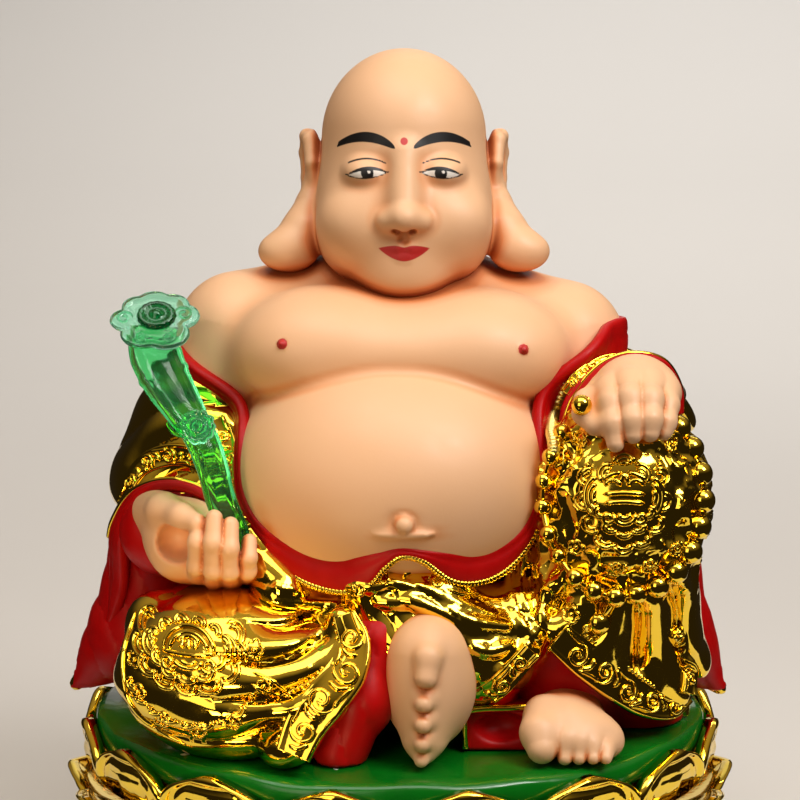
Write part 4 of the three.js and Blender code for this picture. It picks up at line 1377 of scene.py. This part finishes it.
braid = Bundle()
cord(braid, collar, -1.04, 0.5, 0.5, -0.2)
braid.piece("collar_cord", gold)
# The piping's cord takes the pale gold whose tone is a painted highlight.
piping = hem([[24.3, 52.1, 1.2], [23.8, 50.7, 1.3], [23.2, 48.9, 1.4], [22.7, 46.8, 1.4], [22.3, 44.6, 1.4],
              [22.0, 42.6, 1.2]], 0.3, 70, 0.5, flat=0.6)
twisted = Bundle()
cord(twisted, piping, 0.0, 0.85, 0.75, 0.4)
twisted.piece("collar_piping", highlight_cord_gold)

# Medallions on the knees.

def rosette(bundle, form, x, z, size):
    """Five arcs round a small dome."""
    lines = []
    for a in turns_of(5):
        middle = (x + size * 0.55 * math.cos(a), z + size * 0.55 * math.sin(a))
        lines.append(arc(middle, size * 0.36, size * 0.36, math.degrees(a) - 110, math.degrees(a) + 110, 9))
    strokes_on(bundle, form, lines, 0.24, 0.36)
    knobs_on(bundle, form, [(x, z)], size * 0.34)


def knobs_on(bundle, form, points, size):
    place = laid_on(form, np.array(points))
    for p, o in zip(place, outward_at(form, place)):
        knob(bundle, p, o, size, size)


def scallops(centre, rx, rz, start, end, count, size):
    """A row of small arcs round an oval, bulging outward, each with a smaller one inside it."""
    result = []
    for degrees in np.linspace(start, end, count):
        a = math.radians(degrees)
        middle = (centre[0] + rx * math.cos(a), centre[1] + rz * math.sin(a))
        for radius in (size, 0.58 * size):
            result.append(arc(middle, radius, 0.85 * radius, degrees - 95, degrees + 95, 12))
    return result


def mirrored(lines, x):
    return lines + [np.column_stack([2 * x - line[:, 0], line[:, 1]]) for line in lines]


def cloud_top(x, z, size):
    """Three cloud heads, each of three arches one inside the other."""
    result = []
    for share in (1.0, 0.66, 0.32):
        result.append(arc((x, z), size * share, size * share, 10, 170, 20))
    side = [arc((x - 1.35 * size, z - 0.75 * size), 0.85 * size * share, 0.85 * size * share, 60, 235, 18)
            for share in (1.0, 0.6, 0.25)]
    return result + mirrored(side, x)


def dome_lines(at, arch, reach):
    """Arches one inside the other on a bar, with three upright strokes and a row of scallops over them."""
    rx, rz = reach
    lines = scallops(at(0.0, -0.1), 0.8 * rx, 0.7 * rz, 22, 158, 6, 0.15 * rx)
    lines.append(arch(0.0, -0.12, 0.56, 0.66, 26))
    lines.append(arch(0.0, -0.1, 0.42, 0.48, 24))
    lines.append(arch(0.0, 0.1, 0.22, 0.2, 16))
    lines.append(spline([at(-0.6, -0.14), at(0.0, -0.18), at(0.6, -0.14)], 14))
    return lines + [spline([at(u, -0.02), at(0.8 * u, 0.22)], 9) for u in (-0.16, 0.0, 0.16)]


def bar_lines(at, arch, reach):
    """Two bars under cloud heads, with small arches between them."""
    x = at(0.0, 0.0)[0]
    lines = cloud_top(*at(0.0, 0.62), 0.3 * reach[0])
    lines.append(spline([at(-0.58, 0.06), at(0.0, 0.1), at(0.58, 0.06)], 14))
    lines.append(spline([at(-0.56, -0.12), at(0.0, -0.08), at(0.56, -0.12)], 14))
    lines += mirrored([arch(-0.3, 0.21, 0.2, 0.14, 12)], x)
    lines.append(arch(0.0, 0.26, 0.1, 0.2, 10))
    return lines + mirrored([spline([at(-0.62, 0.34), at(-0.3, 0.46), at(-0.06, 0.5)], 10)], x)


def medallion(bundle, form, centre, rx, rz, width, height, middle):
    """A seal of cloud pattern: lines of its own in the middle, curls beside them, and scallops round it."""
    x, z = centre

    def at(u, v):
        return x + u * rx, z + v * rz

    def arch(u, v, across, tall, count):
        return arc(at(u, v), across * rx, tall * rz, 0, 180, count)

    bold = middle(at, arch, (rx, rz))
    bold += [arc(at(0.0, -0.3), share * rx, 0.8 * share * rz, 180, 360, 14) for share in (0.3, 0.15)]
    side = [arc(at(-0.74, 0.0), share * rx, 1.3 * share * rz, 80, 280, 16) for share in (0.28, 0.18, 0.08)]
    side.append(spiral(at(-0.44, -0.42), 0.16 * rx, 1.2, 0.0, -1, 24, 0.3))
    bold += mirrored(side, x)
    strokes_on(bundle, form, bold, width, height)
    rings = scallops(centre, 0.98 * rx, 0.98 * rz, 158, 382, 9, 0.28 * rx)
    rings += scallops(centre, 0.66 * rx, 0.7 * rz, 205, 335, 5, 0.2 * rx)
    strokes_on(bundle, form, rings, 0.85 * width, height)
    knobs_on(bundle, form, [at(-0.95, 0.62), at(0.95, 0.62), at(-0.62, -0.84), at(0.62, -0.84)], 0.42)


relief = Bundle()
medallion(relief, right_leg, (-29.7, 17.2), 6.6, 4.8, 0.4, 0.6, dome_lines)
strokes_on(relief, right_leg, scallops((-29.3, 14.6), 9.2, 7.6, 205, 330, 9, 1.1), 0.28, 0.44)
strokes_on(relief, right_leg, [spline([(-20.6, 14.4), (-17.6, 13.2), (-15.4, 11.0)], 12),
                               spline([(-20.8, 13.0), (-18.2, 11.6), (-15.6, 10.8)], 12)], 0.3, 0.44)
RIGHT_ROSETTES = [
    (-37.2, 10.4, 1.3), (-33.6, 6.8, 1.4), (-28.4, 5.6, 1.4), (-23.4, 7.4, 1.3), (-20.4, 17.4, 1.4),
    (-37.8, 14.6, 1.2), (-19.0, 12.6, 1.1)]
for x, z, size in RIGHT_ROSETTES:
    rosette(relief, right_leg, x, z, size)
rim = spline([[-38.4, 19.6], [-39.2, 17.0], [-39.7, 13.6], [-38.6, 8.8], [-35.4, 4.8], [-30.4, 2.5]], 60)
strokes_on(relief, right_leg, [rim], 0.42, 0.45)
relief.piece("medallion_right_knee", gold)

relief = Bundle()
medallion(relief, left_leg, (31.6, 38.0), 5.3, 6.9, 0.44, 0.6, bar_lines)
LEFT_ROSETTES = [
    (25.6, 45.4, 1.1), (38.6, 45.0, 1.1), (25.0, 30.4, 1.2), (39.4, 30.0, 1.2), (30.4, 27.4, 1.2),
    (35.4, 27.8, 1.1), (24.4, 20.6, 1.3), (27.2, 18.2, 1.2)]
for x, z, size in LEFT_ROSETTES:
    rosette(relief, left_leg, x, z, size)
relief.piece("medallion_left_knee", gold)

relief = Bundle()
waist = [
    spiral((-2.2, 26.6), 1.3, 1.4, 0.4, 1, 34, 0.24),
    spiral((0.9, 27.6), 1.2, 1.4, 2.6, -1, 34, 0.24),
    spiral((5.2, 25.8), 1.2, 1.4, 3.0, -1, 34, 0.24),
    spline([(6.6, 24.8), (8.8, 23.8), (10.8, 23.4)], 14),
    spiral((-5.6, 24.6), 1.0, 1.3, 0.0, 1, 30, 0.24),
]
strokes_on(relief, lap, waist, 0.26, 0.4)
relief.piece("waist_relief", gold)


# Prayer beads, strung on a cord round the raised knee.

BEAD_RADIUS = 4.0 * MILLIMETRE
STRING = {"x": 31.9, "z": 36.9, "width": 11.5, "height": 13.6}
BEADS_ROUND = 23


def turned_bead(bundle, centre, axis, radius):
    """A bead turned on its hole: round, with a small flat rim about each end of the hole."""
    axis = np.asarray(axis, float) / np.linalg.norm(axis)
    a, b = across_of(axis, BACKWARD, RIGHTWARD)
    turn = turns_of(20)[:, None]
    circle = np.cos(turn) * a + np.sin(turn) * b
    angles = np.radians(np.linspace(-80, 80, 13))
    profile = [(0.16, -0.9)] + [(math.cos(v), math.sin(v)) for v in angles] + [(0.16, 0.9)]
    rings = [centre + radius * (r * circle + h * axis) for r, h in profile]
    bundle.skin(np.stack(rings), [centre - radius * 0.86 * axis, centre + radius * 0.86 * axis])


strung = Bundle()
turn = 2 * np.pi * (np.arange(BEADS_ROUND) + 0.9) / BEADS_ROUND
turn = turn[np.cos(turn) < 0.82]
knee_and_hand = blend(0.2, body, left_hand_form())
bead_x = STRING["x"] + STRING["width"] * np.sin(turn)
bead_z = STRING["z"] + STRING["height"] * np.cos(turn)
bead_y = front_of(knee_and_hand, bead_x, bead_z) - (0.4 + 0.5 * np.clip(-np.sin(turn), 0, 1)) * BEAD_RADIUS
centres = np.stack([bead_x, bead_y, bead_z], 1)
for i, centre in enumerate(centres):
    ahead = centres[min(i + 1, len(centres) - 1)] - centres[max(i - 1, 0)]
    turned_bead(strung, centre, ahead, BEAD_RADIUS * (1.06 + 0.2 * math.sin(turn[i])))
strung.tube(spline(centres, 220), FRONTWARD, 0.42, 0.42, 8)
low = centres[np.argmin(centres[:, 2])]
guru = np.array([28.4, front_of(body, [28.4], [19.2])[0] - 0.5, 19.2])
turned_bead(strung, np.array([25.6, -28.0, 50.8]), [0.6, -0.3, 0.7], BEAD_RADIUS)
turned_bead(strung, guru, [0.1, 0, 1], BEAD_RADIUS * 1.25)
strung.tube(spline([low, (low + guru) / 2 + [0, -0.4, 0], guru], 20), FRONTWARD, 0.45, 0.45)
strung.piece("prayer_beads", gold)


# Ruyi.

RUYI_LINE = [
    [-35.4, -18.2, 60.4], [-35.4, -19.2, 57.5], [-33.8, -20.6, 53.6], [-31.2, -22.4, 49.6],
    [-28.6, -23.8, 45.6], [-26.9, -24.9, 41.4], [-25.7, -25.5, 36.8], [-24.1, -25.4, 32.6],
    [-22.3, -24.8, 28.9]]
RUYI_STATIONS = 110
t = np.linspace(0, 1, RUYI_STATIONS)
at_share = [0.0, 0.12, 0.28, 0.45, 0.7, 1.0]
half_width = np.interp(t, at_share, [3.5, 3.9, 3.4, 2.5, 2.2, 2.1]) * smooth(1 - t, -0.05, 0.1)
half_width = half_width * (1.0 + 0.07 * np.exp(-((t - 0.2) / 0.012) ** 2))
thick = 3.75 * MILLIMETRE * smooth(1 - t, -0.1, 0.06)
# The stem's cross section: raised edges and a middle ridge in front, and a rounded back.
STEM_ACROSS = np.array([
    1.0, 0.97, 0.86, 0.72, 0.6, 0.3, 0.0, -0.3, -0.6, -0.72, -0.86, -0.97, -1.0, -0.8, -0.4, 0.0, 0.4, 0.8])
STEM_OUT = np.array([
    0.0, 0.6, 0.95, 0.8, 0.45, 0.55, 0.6, 0.55, 0.45, 0.8, 0.95, 0.6, 0.0, -0.75, -0.95, -1.0, -0.95, -0.75])
shaft = Bundle()
profile = np.stack([half_width[:, None] * STEM_ACROSS, thick[:, None] * STEM_OUT], 2)
shaft.sweep(spline(RUYI_LINE, RUYI_STATIONS), [0.35, -1.0, 0.35], profile)


def union_outline(discs, angles):
    """How far out a group of overlapping discs reaches from the middle, in each direction."""
    reach = np.zeros(len(angles))
    for x, y, r in discs:
        along = x * np.cos(angles) + y * np.sin(angles)
        across = x * np.sin(angles) - y * np.cos(angles)
        half = np.sqrt(np.clip(r * r - across ** 2, 0.0, None))
        reach = np.maximum(reach, np.where(np.abs(across) < r, along + half, 0.0))
    for _ in range(2):
        reach = 0.25 * np.roll(reach, 1) + 0.5 * reach + 0.25 * np.roll(reach, -1)
    return reach


def tilted(points, degrees):
    """Points turned about the line to the right, from lying flat towards facing the front."""
    c, s = math.cos(math.radians(degrees)), math.sin(math.radians(degrees))
    x, y, z = points.T
    return np.stack([x, c * y - s * z, s * y + c * z], 1)


PLATE_SIDES = 168


def plate(bundle, centre, tilt, half_width, half_depth, discs, face, back):
    """A lobed plate with a face of rings given as share of the radius and height."""
    a = turns_of(PLATE_SIDES)
    outline = union_outline(discs, a)
    rings = []
    for r, height in face + [(r, -h) for r, h in reversed(back)]:
        mix = smooth(r, 0.3, 0.8)
        reach = r * (0.75 + (outline - 0.75) * mix)
        flat = [half_width * reach * np.cos(a), half_depth * reach * np.sin(a), np.full(len(a), height)]
        rings.append(tilted(np.stack(flat, 1), tilt) + centre)
    ends = tilted(np.array([[0, 0, face[0][1]], [0, 0, -back[0][1]]]), tilt) + centre
    bundle.skin(np.stack(rings), ends, turned=True)


def even_lobes(count):
    """Discs for a flower of equal lobes."""
    return [(0.0, 0.0, 0.8)] + [(0.72 * math.cos(a), 0.72 * math.sin(a), 0.28) for a in turns_of(count)]


KNOT_FACE = [(0.08, 0.35), (0.22, 0.4), (0.3, 1.2), (0.42, 1.5), (0.54, 1.2), (0.6, 0.6), (0.68, 0.6),
             (0.76, 1.0), (0.88, 0.95), (0.96, 0.6), (1.0, 0.1)]
leaf = spline([[-29.4, -23.9, 46.6], [-31.6, -23.8, 46.4], [-33.4, -23.6, 47.6]], 14)
shaft.tube(leaf, [0.0, -1.0, 0.3], 0.9 * tapered(14, 0.4), 0.55 * tapered(14, 0.4))
shaft.piece("ruyi_sceptre", clear, "ruyi")
# The knot's lighter tint is partly its own paler plastic and partly a painted highlight.
knot = Bundle()
KNOT_AT = np.array([-28.8, -25.7, 47.3])
plate(knot, KNOT_AT, 74, 2.7, 2.6, even_lobes(11), KNOT_FACE, [(0.3, 0.9), (0.8, 0.8), (0.95, 0.5)])
knot.piece("ruyi_knot", knot_tint_and_highlight, "ruyi")

HEAD_DISCS = [(0, 0, 0.72), (0.62, 0.16, 0.38), (-0.66, 0.02, 0.34), (0.36, 0.5, 0.4), (-0.04, 0.58, 0.42),
              (-0.4, 0.46, 0.36), (0.28, -0.44, 0.52), (-0.24, -0.42, 0.5)]
HEAD_FACE = [(0.3, 0.35), (0.44, 0.4), (0.5, 0.62), (0.55, 0.62), (0.6, 0.38), (0.76, 0.42), (0.8, 0.72),
             (0.86, 0.72), (0.9, 0.42), (0.95, 0.5), (0.985, 0.35), (1.0, 0.0)]
HEAD_BACK = [(0.2, 0.75), (0.6, 0.75), (0.9, 0.7), (0.97, 0.45)]
HEAD_AT = np.array([-35.3, -18.8, 61.6])
HEAD_TILT = 42
HEAD_CURLS = [(-4.4, 0.1, 1.3, 0.0, 1), (4.2, 0.9, 1.4, 3.1, -1), (-1.6, -3.6, 1.2, 1.5, 1),
              (2.2, -3.6, 1.2, 1.5, -1)]
head_plate = Bundle()
plate(head_plate, HEAD_AT, HEAD_TILT, 6.5, 5.5, HEAD_DISCS, HEAD_FACE, HEAD_BACK)
facing = tilted(UPWARD[None], HEAD_TILT)
for x, y, size, start, hand in HEAD_CURLS:
    curl = spiral((x, y), size, 1.4, start, hand, 34, 0.2)
    line = tilted(np.column_stack([curl, np.full(len(curl), 0.62)]), HEAD_TILT) + HEAD_AT
    head_plate.tube(line, facing, 0.2 * tapered(34), 0.26 * tapered(34), 7)
head_plate.piece("ruyi_head", pale, "ruyi")
boss = Bundle()
BOSS_FACE = [(0.1, 1.0), (0.3, 0.95), (0.38, 0.5), (0.6, 0.42), (0.7, 0.75), (0.86, 0.8), (0.95, 0.6),
             (1.0, 0.1)]
BOSS_BACK = [(0.3, 0.5), (0.9, 0.5)]
plate(boss, HEAD_AT + [0.3, -0.2, 0.7], HEAD_TILT, 2.9, 2.6, even_lobes(16), BOSS_FACE, BOSS_BACK)
boss.piece("ruyi_boss", deep, "ruyi")


# Lotus throne.

THRONE = 74.0 * MILLIMETRE
SEAT_X = 128.3 * MILLIMETRE
SEAT_Y = 120.05 * MILLIMETRE


def on_oval(turn, inset):
    """A point on the seat's outline, moved in or out, at a turn from the front."""
    return np.array([math.sin(turn) * (SEAT_X + inset), -math.cos(turn) * (SEAT_Y + inset)])


PETAL_THICKNESS = 0.75


def petal(bundle, turn, foot, tip, foot_z, tip_z, half_width, bulge, curl, rows=21, columns=25):
    """A lotus petal that rises from its foot, swells out and curls over at its tip, with a raised border.

    The insets and heights of foot and tip and the half width are in millimetres, bulge and curl in shares.
    """
    out = np.array([math.sin(turn) * SEAT_Y, -math.cos(turn) * SEAT_X, 0.0])
    out /= np.linalg.norm(out)
    side = np.array([-out[1], out[0], 0.0])
    base = np.append(on_oval(turn, foot * MILLIMETRE), foot_z * MILLIMETRE - THRONE)
    end = np.append(on_oval(turn, tip * MILLIMETRE), tip_z * MILLIMETRE - THRONE)
    v = np.linspace(0.0, 1.0, rows)[:, None]
    v = v * (1.45 - 0.45 * v)
    u = np.linspace(-1.0, 1.0, columns)[None]
    u = np.sign(u) * np.abs(u) ** 0.72
    outline = np.clip(np.sin(np.pi * (0.2 + 0.74 * v ** 1.1)), 0, 1) ** 0.75
    width = half_width * MILLIMETRE * outline * (1 - 0.1 * v ** 6)
    pointed = np.sqrt(np.clip(1 - ((v - 0.72) / 0.285) ** 2, 0, 1))
    width = width * np.where(v > 0.72, pointed, 1.0) + 0.02
    spine = base + (end - base) * v[..., None][:, 0]
    swell = bulge * np.sin(np.pi * np.clip(v, 0, 1) ** 0.9)
    lip = curl * smooth(v, 0.72, 1.0)
    cup = -0.16 * width * u ** 2
    tall = float(np.linalg.norm(end - base))
    inward = np.minimum((1 - np.abs(u)) * width, 1.15 * (1 - v) * tall + 0 * u)
    border = 0.95 * (1 - smooth(inward, 1.35, 2.1)) - 0.4 * (1 - smooth(inward, 0.0, 0.5))
    ridges = 0.4 * np.exp(-((inward - 3.3) / 0.4) ** 2) * smooth(v, 0.05, 0.25)
    rib = 0.35 * np.exp(-(u * width / 0.5) ** 2) * (1 - smooth(v, 0.55, 0.75))
    height = swell + lip + cup + (border + ridges + rib) * smooth(v, 0.0, 0.12)
    face = spine[:, None] + side * (width * u)[..., None] + out * height[..., None]
    behind = swell + lip + cup - PETAL_THICKNESS
    back = spine[:, None] + side * (width * u * 0.97)[..., None] + out * behind[..., None]
    points = np.concatenate([face.reshape(-1, 3), back.reshape(-1, 3)])
    total = rows * columns
    i = np.arange(rows - 1)[:, None]
    j = np.arange(columns - 1)[None]
    a = i * columns + j
    front_quads = np.stack([a, a + 1, a + columns + 1, a + columns], -1).reshape(-1, 4)
    back_quads = front_quads[:, ::-1] + total
    number = np.arange(total).reshape(rows, columns)
    rim = np.concatenate([number[0], number[1:, -1], number[-1, -2::-1], number[-2:0:-1, 0]])
    following = np.roll(rim, -1)
    rim_quads = np.stack([following, rim, rim + total, following + total], 1)
    bundle.shell(points, np.concatenate([front_quads, back_quads, rim_quads]))


THRONE_SIDES = 192


def lathe_oval(bundle, profile, ripple=None):
    """Rings about the throne's middle, each an inset from the seat's outline and a height, in millimetres."""
    turn = turns_of(THRONE_SIDES)
    rings = []
    for k, (inset, height) in enumerate(profile):
        x = np.sin(turn) * (SEAT_X + inset * MILLIMETRE)
        y = -np.cos(turn) * (SEAT_Y + inset * MILLIMETRE)
        rise = ripple(k, turn) if ripple else 0.0
        rings.append(np.stack([x, y, np.full(len(turn), height * MILLIMETRE - THRONE) + rise], 1))
    ends = [[0, 0, profile[k][1] * MILLIMETRE - THRONE] for k in (0, -1)]
    bundle.skin(np.stack(rings), ends)


PETALS = 16
petals = Bundle()
for k in range(PETALS):
    a = 2 * math.pi * k / PETALS
    between = a + math.pi / PETALS
    beside = abs(math.sin(a))
    petal(petals, between, -9, -1, 46, 73.0, 25.5, 2.2, 0.35)
    petal(petals, a, -17, 9.0 - 4.0 * beside, 34, 54.0 - 6.0 * beside, 26.0, 2.6, 0.8)
    petal(petals, between, -32, -8, 27, 9.0, 20.0, 1.8, 0.6, 16, 19)
petals.piece("lotus_petals", gold, "lotus_throne")
CORE_PROFILE = [
    (-16, 0.0532), (-15.7, 3), (-16.5, 8), (-20, 10), (-26, 14), (-31, 20), (-33, 28), (-30, 34), (-22, 40),
    (-14, 48), (-9, 58), (-8, 66), (-12, 69)]
core = Bundle()
lathe_oval(core, CORE_PROFILE)
core.piece("throne_core", gold, "lotus_throne")

SEAT_PROFILE = [
    (-8, 62), (-4.6, 64), (-3.8, 67), (-3.8, 71.5), (-5.0, 73.2), (-7.5, 73.8), (-14, 73.7), (-24, 73.7),
    (-50, 73.7)]
RIPPLE_SHARES = [0, 0, 0.4, 1, 1, 0.8, 0.4, 0.15, 0]


def seat_ripple(k, turn):
    wave = 0.22 * np.sin(7 * turn + 0.6) + 0.16 * np.sin(13 * turn + 2.0) + 0.1 * np.sin(22 * turn)
    return RIPPLE_SHARES[k] * wave


seat = Bundle()
lathe_oval(seat, SEAT_PROFILE, seat_ripple)
seat.piece("seat_top", green, "lotus_throne")


# Stage, lights and camera.

def softbox(name, at, towards, width, height, watts, colour):
    light = bpy.data.lights.new(name, "AREA")
    light.shape = "RECTANGLE"
    light.size = width
    light.size_y = height
    light.energy = watts
    light.color = colour
    lamp = bpy.data.objects.new(name, light)
    lamp.location = at
    lamp.rotation_euler = (Vector(towards) - Vector(at)).to_track_quat("-Z", "Y").to_euler()
    bpy.context.scene.collection.objects.link(lamp)
    return lamp


FLOOR_FRONT = -0.15


def room():
    """A pale room to look at, but in reflections dim at eye level and brighter overhead."""
    world = bpy.data.worlds.new("room")
    world.use_nodes = True
    tree = world.node_tree
    dim = tree.nodes["Background"]
    dim.inputs["Color"].default_value = (1.0, 0.78, 0.55, 1.0)
    way = tree.nodes.new("ShaderNodeTexCoord")
    split = tree.nodes.new("ShaderNodeSeparateXYZ")
    tree.links.new(way.outputs["Generated"], split.inputs[0])
    rise = tree.nodes.new("ShaderNodeMapRange")
    rise.interpolation_type = "SMOOTHSTEP"
    for name, value in (("From Min", 0.15), ("From Max", 1.0), ("To Min", 0.02), ("To Max", 0.4)):
        rise.inputs[name].default_value = value
    tree.links.new(split.outputs["Z"], rise.inputs["Value"])
    tree.links.new(rise.outputs["Result"], dim.inputs["Strength"])
    seen = tree.nodes.new("ShaderNodeBackground")
    seen.inputs["Color"].default_value = linear(0.87, 0.855, 0.835)
    path = tree.nodes.new("ShaderNodeLightPath")
    straight = tree.nodes.new("ShaderNodeMath")
    straight.operation = "MAXIMUM"
    tree.links.new(path.outputs["Is Camera Ray"], straight.inputs[0])
    tree.links.new(path.outputs["Is Transmission Ray"], straight.inputs[1])
    either = tree.nodes.new("ShaderNodeMixShader")
    tree.links.new(straight.outputs[0], either.inputs[0])
    tree.links.new(dim.outputs[0], either.inputs[1])
    tree.links.new(seen.outputs[0], either.inputs[2])
    tree.links.new(either.outputs[0], tree.nodes["World Output"].inputs["Surface"])
    bpy.context.scene.world = world


def stage():
    n = Nodes("pale_floor")
    n.link(n.mixed(n.noise(3.0, 2.0), linear(0.85, 0.835, 0.815), linear(0.86, 0.845, 0.825)),
           n.shader.inputs["Base Color"])
    n.shader.inputs["Roughness"].default_value = 0.9
    points = []
    profile = [(FLOOR_FRONT, 0.0), (0.2, 0.0), (1.4, 0.0), (1.8, 0.03), (2.1, 0.14), (2.35, 0.35), (2.5, 0.7),
               (2.55, 3.0)]
    for y, z in profile:
        half = 0.24 + 0.16 * max(y, 0.0)
        points += [(-half, y, z), (half, y, z)]
    faces = [(2 * i, 2 * i + 1, 2 * i + 3, 2 * i + 2) for i in range(len(profile) - 1)]
    mesh = bpy.data.meshes.new("floor")
    mesh.from_pydata(points, [], faces)
    mesh.polygons.foreach_set("use_smooth", np.ones(len(faces), bool))
    mesh.materials.append(n.material)
    floor = bpy.data.objects.new("floor", mesh)
    bpy.context.scene.collection.objects.link(floor)


stage()
room()
bpy.context.scene.view_settings.view_transform = "Standard"
TARGET = (0.0, 0.0, 0.2)
softbox("key", (0.66, -0.64, 1.1), TARGET, 0.5, 0.5, 11.0, (1.0, 0.97, 0.95))
softbox("fill", (-0.5, -0.95, 0.5), TARGET, 0.5, 0.6, 2.0, (1.0, 0.86, 0.7))
softbox("top", (-0.08, -0.32, 1.2), TARGET, 1.0, 0.65, 6.5, (1.0, 0.98, 0.95))
softbox("wall", (0.5, 1.3, 1.7), (0.45, 2.5, 0.4), 1.6, 0.5, 26.0, (0.97, 0.985, 1.0))
glow = softbox("glow", (-0.12, -0.3, 0.06), (-0.068, -0.07, 0.142), 0.06, 0.06, 0.028, (1.0, 0.7, 0.36))
glow.data.spread = math.radians(50.0)

camera_data = bpy.data.cameras.new("camera")
camera_data.lens = 112.5
camera_data.sensor_width = 36.0
camera = bpy.data.objects.new("camera", camera_data)
camera.location = (0.0, -1.0, 0.3577)
camera.rotation_euler = (math.radians(81.0), 0.0, 0.0)
bpy.context.scene.collection.objects.link(camera)
bpy.context.scene.camera = camera
